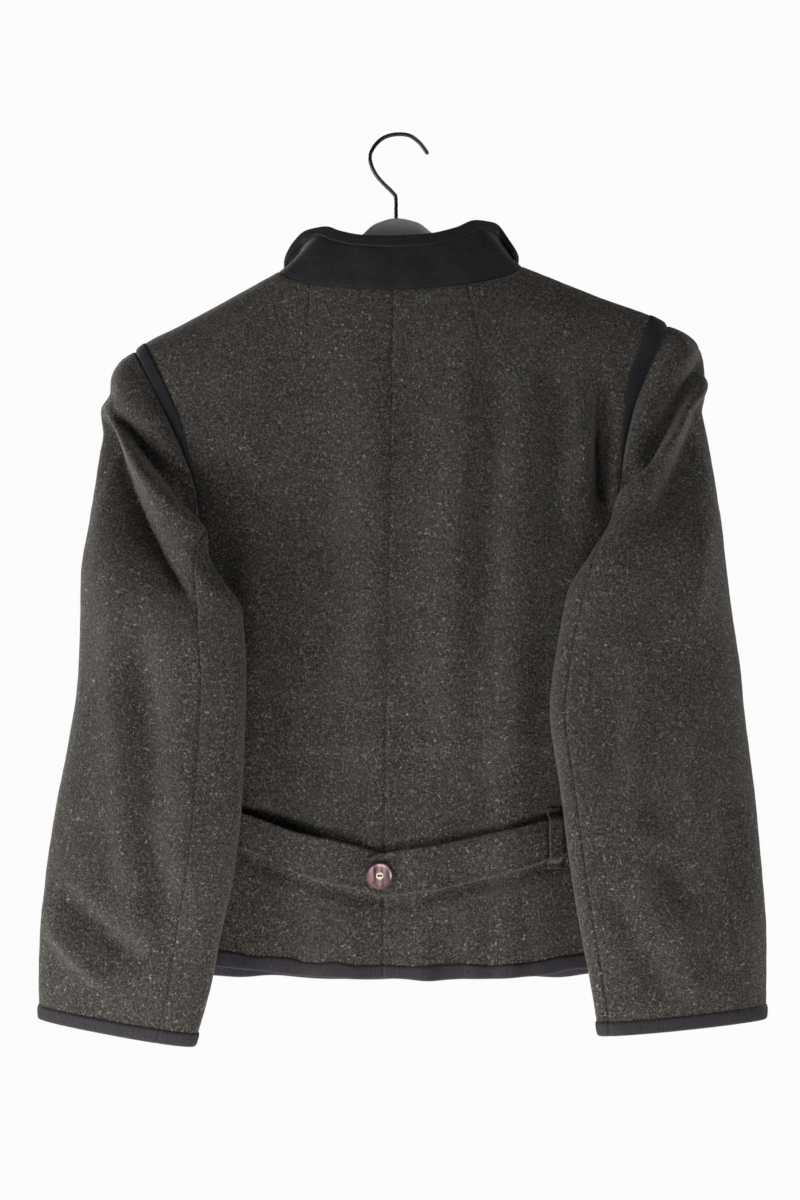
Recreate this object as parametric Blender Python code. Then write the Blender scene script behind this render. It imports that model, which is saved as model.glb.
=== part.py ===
"""Tyrolean loden jacket on its hanger: cloth walls, trims, half belt, buttons and hanger.

Metres. +Z is up, +X is the wearer's right, and the front of the jacket faces +Y.
The origin is the inner top of the hanger's hook, where it hangs on a rail.
"""
import math

import bmesh
import bpy
import numpy as np
from mathutils import Matrix, Vector

for old in list(bpy.data.objects):
    bpy.data.objects.remove(old, do_unlink=True)

# ---------------------------------------------------------------- driving sizes, metres
CLOTH = 0.0020            # wall of the loden and of the collar felt
SEAM_GAP = 0.0003         # gap between two pieces at a seam
TAPE = 0.0010             # wall of the ribbed tape
TAPE_WIDTH = 0.0100       # how far the tape reaches up each face
TAPE_GAP = 0.0007         # gap between the tape and the cloth inside it
FOLD_GAP = 0.0009         # gap between the tape's fold and the cloth's edge
LAY_GAP = 0.0005          # gap under a piece that lies on a panel
BELT_WALL = 0.0020        # wall of the half belt and of its loops
FRONT_LAP = 0.0200        # each front passes the centre front by this much
FRONT_STEP = 0.0032       # how far each front stands off the middle surface at the lap
LAP_FLAT = 0.0220         # the step is full this near to the centre front
LAP_FADE = 0.0500         # and gone this much further out
UNDERARM_DROP = 0.3970    # height of the underarm, below the hook
UNDERARM_SHARE = 0.55     # share of a panel's rows that lie below the underarm
FRONT_CORNER = 0.58       # a front's neckline starts this share of the way up its armhole rows
TOP_BLEND = 0.60          # rows above this share bend towards the shape of the top edge
NECK_SHARE = 0.45         # share of a panel's top edge that is neckline
BACK_NECK_DROP = 0.1355   # centre back of the neckline
FRONT_NECK_DROP = 0.1900  # centre front of the neckline
LEFT, RIGHT = -1, 1
BACK, FRONT = 0, 1


def table(names, rows):
    """Turn a short table into one array for each named column."""
    return {n: np.array([row[i] for row in rows], float) for i, n in enumerate(names.split())}


# "drop" is the height below the hook's inner top, which is the origin.
# One row for each level of the body, from the neck to the hem.
BODY = table(
    "drop   left    right   back    front   round  seam", [
    (0.1136, 0.0948, 0.1070, 0.0325, 0.0325, 2.00, -0.0040),
    (0.1180, 0.1027, 0.1178, 0.0335, 0.0340, 2.00, -0.0042),
    (0.1400, 0.1420, 0.1718, 0.0395, 0.0400, 2.00, -0.0044),
    (0.1650, 0.1867, 0.2332, 0.0445, 0.0460, 2.00, -0.0047),
    (0.1876, 0.2271, 0.2520, 0.0475, 0.0500, 2.05, -0.0050),
    (0.2150, 0.2480, 0.2540, 0.0500, 0.0530, 2.10, -0.0054),
    (0.2600, 0.2480, 0.2500, 0.0520, 0.0550, 2.20, -0.0062),
    (0.3300, 0.2350, 0.2380, 0.0540, 0.0570, 2.30, -0.0077),
    (0.3970, 0.2230, 0.2260, 0.0550, 0.0575, 2.30, -0.0087),
    (0.4800, 0.2150, 0.2170, 0.0545, 0.0570, 2.30, -0.0099),
    (0.5600, 0.2110, 0.2120, 0.0530, 0.0555, 2.30, -0.0110),
    (0.6450, 0.2170, 0.2180, 0.0545, 0.0570, 2.30, -0.0121),
    (0.7450, 0.2270, 0.2290, 0.0580, 0.0600, 2.20, -0.0129)])

# The hem's height by the angle round the body, 0 at the centre back, 180 at the centre front.
HEM = table(
    "angle  drop", [
    (-180, 0.7380), (-135, 0.7320), (-90, 0.7120), (-45, 0.7135), (-22, 0.7190),
    (0, 0.7235), (10, 0.7244), (22, 0.7227), (45, 0.7160), (90, 0.7150), (135, 0.7320), (180, 0.7380)])

# The armhole's edge, from the shoulder tip down to the underarm.
BACK_ARMHOLE = table(
    "left_x  left_drop right_x right_drop", [
    (0.2271, 0.1876, 0.2332, 0.1650),
    (0.2109, 0.2174, 0.2159, 0.2037),
    (0.1953, 0.2509, 0.2045, 0.2310),
    (0.1833, 0.2787, 0.1970, 0.2600),
    (0.1734, 0.3063, 0.1925, 0.2880),
    (0.1700, 0.3300, 0.1905, 0.3180),
    (0.1740, 0.3560, 0.1950, 0.3480),
    (0.1910, 0.3800, 0.2060, 0.3760),
    (0.2230, 0.3970, 0.2260, 0.3970)])
FRONT_ARMHOLE = table(
    "left_x  left_drop right_x right_drop", [
    (0.2271, 0.1876, 0.2332, 0.1650),
    (0.2080, 0.2200, 0.2130, 0.2010),
    (0.1920, 0.2600, 0.1960, 0.2500),
    (0.1840, 0.3050, 0.1880, 0.3050),
    (0.1880, 0.3500, 0.1910, 0.3500),
    (0.2030, 0.3830, 0.2060, 0.3830),
    (0.2230, 0.3970, 0.2260, 0.3970)])


# ---------------------------------------------------------------- curves
def ease(t):
    """Smooth step from 0 to 1."""
    t = np.clip(t, 0.0, 1.0)
    return t * t * (3.0 - 2.0 * t)


def track(x, xs, ys):
    """Smooth curve through a table's rows that never overshoots them."""
    x = np.clip(np.asarray(x, float), xs[0], xs[-1])
    h = np.diff(xs)
    d = np.diff(ys) / h
    m = np.zeros(len(ys))
    m[0] = d[0]
    m[-1] = d[-1]
    same = d[:-1] * d[1:] > 0
    w1 = 2 * h[1:] + h[:-1]
    w2 = h[1:] + 2 * h[:-1]
    safe0 = np.where(same, d[:-1], 1.0)
    safe1 = np.where(same, d[1:], 1.0)
    m[1:-1] = np.where(same, (w1 + w2) / (w1 / safe0 + w2 / safe1), 0.0)
    i = np.clip(np.searchsorted(xs, x, side="right") - 1, 0, len(xs) - 2)
    t = (x - xs[i]) / h[i]
    return ((1 + 2 * t) * (1 - t) ** 2 * ys[i] + t * (1 - t) ** 2 * h[i] * m[i]
            + t * t * (3 - 2 * t) * ys[i + 1] + t * t * (t - 1) * h[i] * m[i + 1])


def through(points, count):
    """Points spaced evenly along a smooth curve that passes through the given points."""
    p = np.asarray(points, float)
    knot = np.concatenate([[0.0], np.cumsum(np.linalg.norm(np.diff(p, axis=0), axis=1))])
    m = np.gradient(p, knot, axis=0)
    x = np.linspace(0.0, knot[-1], count)
    i = np.clip(np.searchsorted(knot, x, side="right") - 1, 0, len(knot) - 2)
    h = (knot[i + 1] - knot[i])[:, None]
    t = ((x - knot[i]) / h[:, 0])[:, None]
    return ((1 + 2 * t) * (1 - t) ** 2 * p[i] + t * (1 - t) ** 2 * h * m[i]
            + t * t * (3 - 2 * t) * p[i + 1] + t * t * (t - 1) * h * m[i + 1])


def unit(v):
    """Vectors of length 1."""
    v = np.asarray(v, float)
    return v / np.maximum(np.linalg.norm(v, axis=-1, keepdims=True), 1e-12)


# ---------------------------------------------------------------- body surface
def level(name, drop):
    """One column of the BODY table at any height."""
    return track(drop, BODY["drop"], BODY[name])


def half_width(side, drop):
    """Half width from the centre seam to one side."""
    seam = level("seam", drop)
    left = level("left", drop) + seam
    right = level("right", drop) - seam
    return np.where(np.asarray(side) > 0, right, left)


def folds_at(folds, x, z):
    """Sum of the soft ridges and troughs of a fold table at places on the x, z plane."""
    total = np.zeros(np.shape(x))
    for i in range(len(folds["x0"])):
        x0, z0 = folds["x0"][i], -folds["drop0"][i]
        x1, z1 = folds["x1"][i], -folds["drop1"][i]
        length = math.hypot(x1 - x0, z1 - z0)
        ex, ez = (x1 - x0) / length, (z1 - z0) / length
        along = (x - x0) * ex + (z - z0) * ez
        share = np.clip(along / length, -0.3, 1.3)
        across = (x - x0) * ez - (z - z0) * ex - folds["bow"][i] * 4 * share * (1 - share)
        width = np.where(across > 0, folds["width"][i], folds["lee"][i])
        fade = ease(share / 0.35 + 0.35) * ease((1 - share) / 0.35 + 0.35)
        total = total + folds["height"][i] * np.exp(-(across / width) ** 2) * fade
    return total


# Largest folds of the body, heights out of the surface: troughs are negative.
BACK_FOLDS = table(
    "x0      drop0   x1      drop1   width  lee    bow    height", [
    (0.0620, 0.1750, 0.0430, 0.5400, 0.021, 0.022, 0.003, 0.0066),
    (0.0830, 0.2000, 0.0740, 0.5200, 0.014, 0.014, 0.002, -0.0040),
    (0.1090, 0.2050, 0.0950, 0.5600, 0.022, 0.017, 0.003, 0.0064),
    (0.1400, 0.1950, 0.1330, 0.3400, 0.013, 0.013, 0.002, -0.0052),
    (-0.0880, 0.1500, -0.0700, 0.4500, 0.042, 0.036, 0.002, -0.0080),
    (-0.1750, 0.2900, -0.1150, 0.3700, 0.016, 0.020, 0.004, -0.0040),
    (-0.0660, 0.5400, -0.0560, 0.8500, 0.026, 0.026, 0.001, 0.0034),
    (0.0290, 0.5600, 0.0240, 0.8500, 0.020, 0.022, 0.001, 0.0042),
    (0.1000, 0.5600, 0.1040, 0.8500, 0.022, 0.026, 0.001, 0.0048),
    (-0.0930, 0.3300, -0.0900, 0.5200, 0.013, 0.013, 0.001, 0.0016),
    (-0.0600, 0.3100, -0.0560, 0.5300, 0.014, 0.014, 0.001, -0.0022)])
FRONT_FOLDS = table(
    "x0      drop0   x1      drop1   width  lee    bow    height", [
    (-0.0950, 0.2400, -0.0700, 0.4600, 0.024, 0.024, 0.004, -0.0045),
    (0.1050, 0.2400, 0.0800, 0.4500, 0.024, 0.022, 0.004, -0.0045),
    (0.0950, 0.5000, 0.1090, 0.8500, 0.024, 0.026, 0.003, 0.0045),
    (-0.1000, 0.5200, -0.1160, 0.8500, 0.024, 0.026, 0.003, 0.0040)])


def body_point(angle, drop):
    """Middle surface of the body; angle in radians, 0 at the centre back, + towards +X."""
    angle, drop = np.broadcast_arrays(np.asarray(angle, float), np.asarray(drop, float))
    s = np.sin(angle)
    c = np.cos(angle)
    power = 2.0 / level("round", drop)
    side = np.where(s >= 0, 1, -1)
    x = level("seam", drop) + side * half_width(side, drop) * np.abs(s) ** power
    depth = np.where(c >= 0, level("back", drop), level("front", drop))
    y = -np.sign(c) * depth * np.abs(c) ** power
    z = -drop
    fold = np.where(c >= 0, folds_at(BACK_FOLDS, x, z), folds_at(FRONT_FOLDS, x, z))
    y = y - np.sign(c) * fold * ease(np.abs(c) / 0.5)
    return np.stack([x, y, z], axis=-1)


def body_normal(angle, drop):
    """Outward direction of the body's surface."""
    a = 0.004
    d = 0.0008
    round_way = body_point(angle + a, drop) - body_point(angle - a, drop)
    down_way = body_point(angle, drop + d) - body_point(angle, drop - d)
    n = unit(np.cross(down_way, round_way))
    return n


def angle_at(side, face, x, drop):
    """Angle round the body of the point of one face that lies at x, drop."""
    offset = (x - level("seam", drop)) * side
    reach = half_width(np.where(offset >= 0, side, -side), drop)
    share = np.clip(np.abs(offset) / reach, 0.0, 1.0)
    a = np.sign(offset) * np.arcsin(share ** (level("round", drop) / 2.0))
    return side * a if face == BACK else np.pi - side * a


def back_y(x, z):
    """Depth of the back's middle surface at places on the x, z plane, 0 past its sides."""
    drop = -z
    offset = x - level("seam", drop)
    side = np.where(offset >= 0, 1, -1)
    share = np.clip(np.abs(offset) / half_width(side, drop), 0.0, 1.0)
    c = (1.0 - share ** level("round", drop)) ** (1.0 / level("round", drop))
    return -level("back", drop) * c - folds_at(BACK_FOLDS, x, z) * ease(c / 0.5)


# ---------------------------------------------------------------- panels
def neck_drop(side):
    """Height of the neck point, where the shoulder seam meets the collar."""
    return 0.1180 if side == LEFT else 0.1136


def neck_x(side):
    """Distance of the neck point from x = 0."""
    return 0.1027 if side == LEFT else 0.1070


def tip(side):
    """The shoulder tip: distance from x = 0, and height."""
    name = "left" if side == LEFT else "right"
    return BACK_ARMHOLE[name + "_x"][0], BACK_ARMHOLE[name + "_drop"][0]


def armhole_edge(side, face, share):
    """Distance from x = 0 and height along one half of an armhole, 0 at the tip, 1 underarm."""
    rows = BACK_ARMHOLE if face == BACK else FRONT_ARMHOLE
    name = "left" if side == LEFT else "right"
    dense = through(np.stack([rows[name + "_x"], rows[name + "_drop"]], axis=1), 241)
    angle = angle_at(side, face, side * dense[:, 0], dense[:, 1])
    p = body_point(angle, dense[:, 1])
    run = np.concatenate([[0.0], np.cumsum(np.linalg.norm(np.diff(p, axis=0), axis=1))])
    x = np.interp(share, run / run[-1], dense[:, 0])
    drop = np.interp(share, run / run[-1], dense[:, 1])
    return x, drop


def neckline(side, face, share):
    """x and height along one half of the neckline, 0 at the centre, 1 at the neck point."""
    middle = -0.0042
    start = 0.0
    if face == FRONT:
        start = -math.asin(FRONT_LAP / (neck_x(side) - side * middle)) / (np.pi / 2)
    t = (start + (1 - start) * np.asarray(share, float)) * np.pi / 2
    x = side * middle + (neck_x(side) - side * middle) * np.sin(t)
    low = BACK_NECK_DROP if face == BACK else FRONT_NECK_DROP
    drop = neck_drop(side) + (low - neck_drop(side)) * np.cos(t)
    return x, drop


def hem_drop(angle):
    """Height of the hem by the angle round the body."""
    turn = np.degrees(np.arctan2(np.sin(angle), np.cos(angle)))
    return track(turn, HEM["angle"], HEM["drop"])


def signed_sine(angle, power):
    """Sine with its size raised to a power, as a superellipse needs."""
    s = np.sin(angle)
    return np.sign(s) * np.abs(s) ** power


def to_angle(side, face, x, drop):
    """Angle round the body of the point of one face at a distance x towards its side."""
    offset = x - side * level("seam", drop)
    reach = half_width(np.where(offset >= 0, side, -side), drop)
    share = np.clip(np.abs(offset) / reach, 0, 1)
    angle = np.sign(offset) * np.arcsin(share ** (level("round", drop) / 2))
    return side * angle if face == BACK else np.pi - side * angle


def panel_plan(side, face, u, v):
    """Angle and height of a panel's points: u from the centre to the side, v from hem to top.

    A back's top edge is its neckline and shoulder seam. A front's neckline is the upper part
    of its inner edge, because it is deep.
    """
    u, v = np.broadcast_arrays(np.asarray(u, float), np.asarray(v, float))
    low = v < UNDERARM_SHARE
    climb = np.clip(v / UNDERARM_SHARE, 0, 1)
    rise = np.clip((v - UNDERARM_SHARE) / (1 - UNDERARM_SHARE), 0, 1)
    lap = 0.0 if face == BACK else FRONT_LAP
    centre_hem = hem_drop(0.0 if face == BACK else np.pi)
    side_hem = hem_drop(side * np.pi / 2)
    # the inner edge: centre back, or front edge and then neckline
    top = BACK_NECK_DROP if face == BACK else FRONT_NECK_DROP
    corner = 1.0 if face == BACK else FRONT_CORNER
    centre_drop = np.where(low, centre_hem + (UNDERARM_DROP - centre_hem) * climb,
                           UNDERARM_DROP + (top - UNDERARM_DROP) * np.clip(rise / corner, 0, 1))
    centre_x = side * level("seam", centre_drop) - lap
    if face == FRONT:
        neck = np.clip((rise - FRONT_CORNER) / (1 - FRONT_CORNER), 0, 1)
        nx, nd = neckline(side, face, neck)
        on_neck = rise > FRONT_CORNER
        centre_x = np.where(on_neck, nx, centre_x)
        centre_drop = np.where(on_neck, nd, centre_drop)
    # the outer edge: side seam and then armhole
    edge_x, edge_drop = armhole_edge(side, face, 1.0 - rise)
    edge_drop = np.where(low, side_hem + (UNDERARM_DROP - side_hem) * climb, edge_drop)
    seam = side * level("seam", edge_drop)
    reach = half_width(side, edge_drop)
    edge_x = np.where(low, seam + reach, edge_x)
    power = 2 / level("round", edge_drop)
    last = np.arcsin(np.clip((edge_x - seam) / reach, 0, 1) ** (1 / power))
    middle_seam = side * level("seam", centre_drop)
    middle_reach = half_width(side, centre_drop)
    middle_power = 2 / level("round", centre_drop)
    first_share = (centre_x - middle_seam) / middle_reach
    first = np.sign(first_share) * np.arcsin(
        np.clip(np.abs(first_share), 0, 1) ** (1 / middle_power))
    angle = first + u * (last - first)
    spread = signed_sine(last, power) - signed_sine(first, power)
    flow = (signed_sine(angle, power) - signed_sine(first, power)) / np.maximum(spread, 0.001)
    flow = np.where(spread > 0.001, flow, u)
    # the top edge
    tip_x, tip_drop = tip(side)
    side_name = "left" if side == LEFT else "right"
    if face == BACK:
        nx, nd = neckline(side, face, np.clip(u / NECK_SHARE, 0, 1))
        along = np.clip((u - NECK_SHARE) / (1 - NECK_SHARE), 0, 1)
        top_drop = np.where(u < NECK_SHARE, nd, neck_drop(side) + (tip_drop - neck_drop(side)) * along)
        top_x = np.where(u < NECK_SHARE, nx, level(side_name, top_drop))
        start_x, start_drop = side * -0.0042, BACK_NECK_DROP
    else:
        start_x, start_drop = neck_x(side), neck_drop(side)
        top_drop = start_drop + (tip_drop - start_drop) * u
        top_x = level(side_name, top_drop)
    top_flow = (top_x - start_x) / (tip_x - start_x)
    top_bend = top_drop - (start_drop + (tip_drop - start_drop) * u)
    lift = ease((v - TOP_BLEND) / (1 - TOP_BLEND))
    flow = flow + (top_flow - flow) * lift
    x = centre_x + (edge_x - centre_x) * flow
    drop = centre_drop + (edge_drop - centre_drop) * u + top_bend * lift
    turn = side * angle if face == BACK else np.pi - side * angle
    flat = (1 - u) * centre_hem + u * side_hem
    drop = drop + (1 - ease(v / 0.3)) * (hem_drop(turn) - flat)
    drop_reach = half_width(side, drop)
    x = np.where(low, side * level("seam", drop) + drop_reach * signed_sine(
        angle, 2 / level("round", drop)), x)
    return to_angle(side, face, x, drop), drop


def lap_step(side, face, point):
    """How far a front stands off the middle surface near the lap: the right front is on top."""
    if face == BACK:
        return np.zeros(point.shape[:-1])
    off = np.abs(point[..., 0] - level("seam", -point[..., 2]))
    near = 1 - ease((off - LAP_FLAT) / LAP_FADE)
    return side * FRONT_STEP * near


def panel(side, face, u, v):
    """Middle surface points and outward directions of one body panel."""
    angle, drop = panel_plan(side, face, u, v)
    p = body_point(angle, drop)
    n = body_normal(angle, drop)
    return p + n * lap_step(side, face, p)[..., None], n


# ---------------------------------------------------------------- collar
# The collar's top edge: station 0 at the centre back, 1 at the neck point, 2 at the centre front.
COLLAR = table(
    "station left_x left_y left_drop right_x right_y right_drop", [
    (0.00, 0.0042, -0.0260, 0.0914, -0.0042, -0.0260, 0.0914),
    (0.30, 0.0300, -0.0235, 0.0905, 0.0250, -0.0235, 0.0895),
    (0.60, 0.0510, -0.0165, 0.0860, 0.0510, -0.0165, 0.0830),
    (0.85, 0.0645, -0.0070, 0.0812, 0.0690, -0.0070, 0.0756),
    (1.00, 0.0800, 0.0050, 0.0830, 0.0840, 0.0050, 0.0765),
    (1.20, 0.0930, 0.0200, 0.0945, 0.0965, 0.0200, 0.0895),
    (1.35, 0.0985, 0.0340, 0.1070, 0.1045, 0.0340, 0.1030),
    (1.50, 0.0930, 0.0500, 0.1200, 0.0970, 0.0500, 0.1170),
    (1.65, 0.0670, 0.0630, 0.1360, 0.0700, 0.0640, 0.1340),
    (1.85, 0.0340, 0.0730, 0.1490, 0.0340, 0.0740, 0.1490),
    (2.00, 0.0042, 0.0765, 0.1530, -0.0042, 0.0785, 0.1530)])
COLLAR_BULGE = 0.0020     # how far the collar rounds outward between its edges
PINCH_AT = 1.02           # the side of the neck, where the collar buckles inward
PINCH_WIDTH = 0.14
PINCH_DEPTH = 0.0080
COLLAR_SPLIT = 0.0006     # each collar end stops this far from the centre front


def collar_top(side, station):
    """The collar's top edge at stations from the centre back to the centre front."""
    word = "left" if side == LEFT else "right"
    x = side * track(station, COLLAR["station"], COLLAR[word + "_x"])
    y = track(station, COLLAR["station"], COLLAR[word + "_y"])
    return np.stack([x, y, -track(station, COLLAR["station"], COLLAR[word + "_drop"])], axis=-1)


# The half belt's edges on the back, and the two loops it runs through.
BELT = table(
    "x       top     bottom", [
    (-0.2000, 0.5760, 0.6010),
    (-0.1345, 0.5864, 0.6130),
    (-0.0834, 0.6043, 0.6335),
    (-0.0494, 0.6130, 0.6440),
    (-0.0110, 0.6195, 0.6530),
    (0.0273, 0.6165, 0.6490),
    (0.0699, 0.6077, 0.6401),
    (0.1252, 0.5924, 0.6247),
    (0.2000, 0.5780, 0.6080)])
BELT_TIP_X = -0.0313      # the over piece ends in a round tip
BELT_UNDER_X = 0.0040     # the under piece ends here, behind the over piece
BELT_END_X = 0.1950       # both pieces are sewn down here
LOOP_X = (-0.1450, 0.1327)
LOOP_WIDTH = 0.0110
BUTTON_RADIUS = 0.0113
BUTTON_THICK = 0.0040
BELT_BUTTON = (-0.0153, 0.6375)

# Width of the felt strip beside the armhole, by the share of the way from tip to underarm.
STRIP = table(
    "share  left    right", [
    (0.00, 0.0110, 0.0150),
    (0.15, 0.0100, 0.0120),
    (0.35, 0.0085, 0.0095),
    (0.50, 0.0060, 0.0065),
    (0.62, 0.0040, 0.0040)])
STRIP_WALL = 0.0012
STRIP_INSET = 0.0018      # the strip stops this far from the armhole seam

# ---------------------------------------------------------------- sleeves
# One row for each station down the sleeve: the outer and the inner edge, and half the
# thickness between them. y is negative behind the body.
LEFT_SLEEVE = table(
    "outer_x  outer_y  outer_drop inner_x  inner_y  inner_drop half", [
    (-0.2700, -0.034, 0.4000, -0.1330, -0.080, 0.4150, 0.031),
    (-0.2715, -0.035, 0.4650, -0.1295, -0.080, 0.4680, 0.028),
    (-0.2795, -0.038, 0.5250, -0.1312, -0.081, 0.5220, 0.028),
    (-0.2905, -0.042, 0.5800, -0.1340, -0.082, 0.5770, 0.028),
    (-0.2995, -0.045, 0.6350, -0.1400, -0.083, 0.6320, 0.026),
    (-0.3045, -0.047, 0.6850, -0.1500, -0.084, 0.6820, 0.024),
    (-0.3055, -0.048, 0.7250, -0.1590, -0.084, 0.7300, 0.021),
    (-0.3045, -0.048, 0.7580, -0.1720, -0.084, 0.7770, 0.018)])
RIGHT_SLEEVE = table(
    "outer_x  outer_y  outer_drop inner_x  inner_y  inner_drop half", [
    (0.2840, -0.034, 0.3950, 0.1455, -0.080, 0.4000, 0.031),
    (0.2910, -0.035, 0.4560, 0.1340, -0.080, 0.4560, 0.028),
    (0.2945, -0.038, 0.5000, 0.1295, -0.081, 0.4980, 0.028),
    (0.3040, -0.042, 0.5750, 0.1397, -0.082, 0.5720, 0.028),
    (0.3100, -0.045, 0.6350, 0.1480, -0.083, 0.6320, 0.026),
    (0.3136, -0.047, 0.6850, 0.1562, -0.084, 0.6820, 0.024),
    (0.3132, -0.048, 0.7250, 0.1635, -0.084, 0.7230, 0.021),
    (0.3125, -0.048, 0.7580, 0.1700, -0.084, 0.7680, 0.018)])
# How the cloth leaves the armhole, by the share of the way round it: 0 at the tip, then
# down the back to 0.5 at the underarm, and up the front. "turn" is the place on the tube
# below that this part feeds: 0 at its outer edge, 90 at its back, 180 at its inner edge.
SLEEVE_HEAD = table(
    "share  out    back   down   reach  fall   left_turn right_turn", [
    (0.000, 0.90, 0.00, 0.35, 0.130, 0.180, 0, 0),
    (0.100, 0.80, 0.45, 0.40, 0.100, 0.170, 34, 36),
    (0.200, 0.60, 0.75, 0.25, 0.090, 0.150, 80, 84),
    (0.305, 0.15, 0.95, 0.25, 0.075, 0.110, 124, 154),
    (0.360, -0.10, 0.97, 0.20, 0.060, 0.080, 170, 186),
    (0.420, 0.10, 0.97, 0.00, 0.040, 0.050, 224, 226),
    (0.460, 0.60, 0.75, -0.30, 0.042, 0.040, 260, 260),
    (0.500, 0.92, 0.20, -0.35, 0.050, 0.050, 290, 290),
    (0.550, 0.95, -0.10, -0.15, 0.050, 0.060, 302, 302),
    (0.620, 0.95, -0.20, 0.20, 0.055, 0.070, 311, 311),
    (0.750, 0.85, -0.40, 0.30, 0.090, 0.120, 326, 326),
    (0.900, 0.88, -0.25, 0.35, 0.120, 0.170, 346, 346),
    (1.000, 0.90, 0.00, 0.35, 0.130, 0.180, 360, 360)])
HEAD_SHARE = 0.42         # share of a sleeve's length that its head takes
BACK_SEAM_SHARE = 0.305   # where the sleeve's back seam starts on the armhole
FRONT_SEAM_SHARE = 0.630  # where its front seam starts
TUBE_ROUND = 2.3
BODY_CLEAR = 0.0072       # least distance between a sleeve's and the body's middle surfaces

# Largest folds of the sleeves, seen from the back.
SLEEVE_FOLDS = table(
    "x0      drop0   x1      drop1   width  lee    bow    height", [
    (-0.2580, 0.1980, -0.1620, 0.3080, 0.014, 0.018, 0.002, 0.0050),
    (-0.2680, 0.2225, -0.1350, 0.3590, 0.010, 0.013, 0.000, -0.0110),
    (-0.2640, 0.2180, -0.1330, 0.3800, 0.011, 0.010, 0.0145, 0.0080),
    (-0.2660, 0.2350, -0.1700, 0.4150, 0.034, 0.010, 0.002, -0.0130),
    (-0.2600, 0.3500, -0.1640, 0.4700, 0.030, 0.030, 0.000, 0.0070),
    (0.2660, 0.1950, 0.2100, 0.2800, 0.010, 0.012, 0.004, -0.0070),
    (0.2650, 0.2250, 0.2080, 0.2880, 0.014, 0.010, 0.004, 0.0060),
    (0.2600, 0.2420, 0.2300, 0.2850, 0.010, 0.012, 0.004, -0.0060),
    (-0.2460, 0.4100, -0.2340, 0.7000, 0.014, 0.015, 0.003, 0.0040),
    (-0.2240, 0.4300, -0.2060, 0.6800, 0.016, 0.017, 0.003, -0.0055),
    (-0.2950, 0.6900, -0.2450, 0.7300, 0.012, 0.012, 0.000, -0.0040),
    (0.2300, 0.4500, 0.2600, 0.6000, 0.022, 0.018, 0.004, -0.0040)])


def closed_track(share, name):
    """A column of SLEEVE_HEAD at any share of the way round the armhole."""
    return track(share, SLEEVE_HEAD["share"], SLEEVE_HEAD[name])


def armhole(side, share):
    """Edge points and the body's outward direction there."""
    share = np.asarray(share, float)
    behind = share <= 0.5
    bx, bd = armhole_edge(side, BACK, np.clip(share * 2, 0, 1))
    fx, fd = armhole_edge(side, FRONT, np.clip(2 - share * 2, 0, 1))
    x = side * np.where(behind, bx, fx)
    drop = np.where(behind, bd, fd)
    angle = np.where(behind, angle_at(side, BACK, x, drop), angle_at(side, FRONT, x, drop))
    p = body_point(angle, drop)
    n = body_normal(angle, drop)
    return p, n


def armhole_frame(side, share):
    """Edge points with the body's outward direction and its direction across the edge."""
    share = np.asarray(share, float)
    step = 0.004
    p, n = armhole(side, share)
    ahead = armhole(side, (share + step) % 1.0)[0]
    behind = armhole(side, (share - step) % 1.0)[0]
    along = unit(ahead - behind)
    across = unit(np.cross(along, n))
    middle = np.array([side * 0.235, 0.0, -0.29])
    sign = np.sign(np.sum(across * (middle - p), axis=-1, keepdims=True))
    return p, n, along, across * np.where(sign == 0, 1, sign)


def tube(side, station, turn):
    """Points of the hanging tube: station 0 to 1 from below the head to the cuff."""
    rows = LEFT_SLEEVE if side == LEFT else RIGHT_SLEEVE
    knots = np.linspace(0, 1, len(rows["half"]))
    get = {k: track(station, knots, v) for k, v in rows.items()}
    outer = np.stack([get["outer_x"], get["outer_y"], -get["outer_drop"]], axis=-1)
    inner = np.stack([get["inner_x"], get["inner_y"], -get["inner_drop"]], axis=-1)
    centre = (outer + inner) / 2
    half = (outer - inner) / 2
    back = unit(np.stack([half[..., 1] * side, -half[..., 0] * side, 0 * half[..., 0]], axis=-1))
    power = 2.0 / TUBE_ROUND
    c, s = np.cos(turn), np.sin(turn)
    c = np.sign(c) * np.abs(c) ** power
    s = np.sign(s) * np.abs(s) ** power
    return centre + half * c[..., None] + back * (get["half"] * s)[..., None]


def keep_clear(side, p, gap, reach, weight):
    """Move points back, away from the body's back panel where it exists."""
    x, z = p[..., 0], p[..., 2]
    drop = -z
    dense_x, dense_drop = armhole_edge(side, BACK, np.linspace(0, 1, 121))
    edge = np.where(drop > UNDERARM_DROP, 1.0, np.interp(drop, dense_drop, dense_x))
    beside = np.where(drop > UNDERARM_DROP - 0.012, 1.0,
                      1 - ease((np.abs(x) - edge) / reach))
    over = p[..., 1] - (back_y(x, z) - gap)
    soft = 0.004
    push = np.where(over > soft, over, np.where(over < -soft, 0.0, (over + soft) ** 2 / (4 * soft)))
    width = half_width(side, drop)
    inside = 1 - ease((np.abs(x - level("seam", drop)) - width + 0.001) / 0.006)
    q = p.copy()
    q[..., 1] = q[..., 1] - push * beside * inside * weight
    return q


def armhole_seam(side, share):
    """Edge points of the armhole, the way from body to sleeve there, and the seam's own normal."""
    edge, n, along, across = armhole_frame(side, share)
    start = unit(np.stack([side * closed_track(share, "out"), -closed_track(share, "back"),
                           -closed_track(share, "down")], axis=-1))
    joint = unit(start + across)
    return edge, joint, unit(np.cross(along, joint)) * side, start


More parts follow.
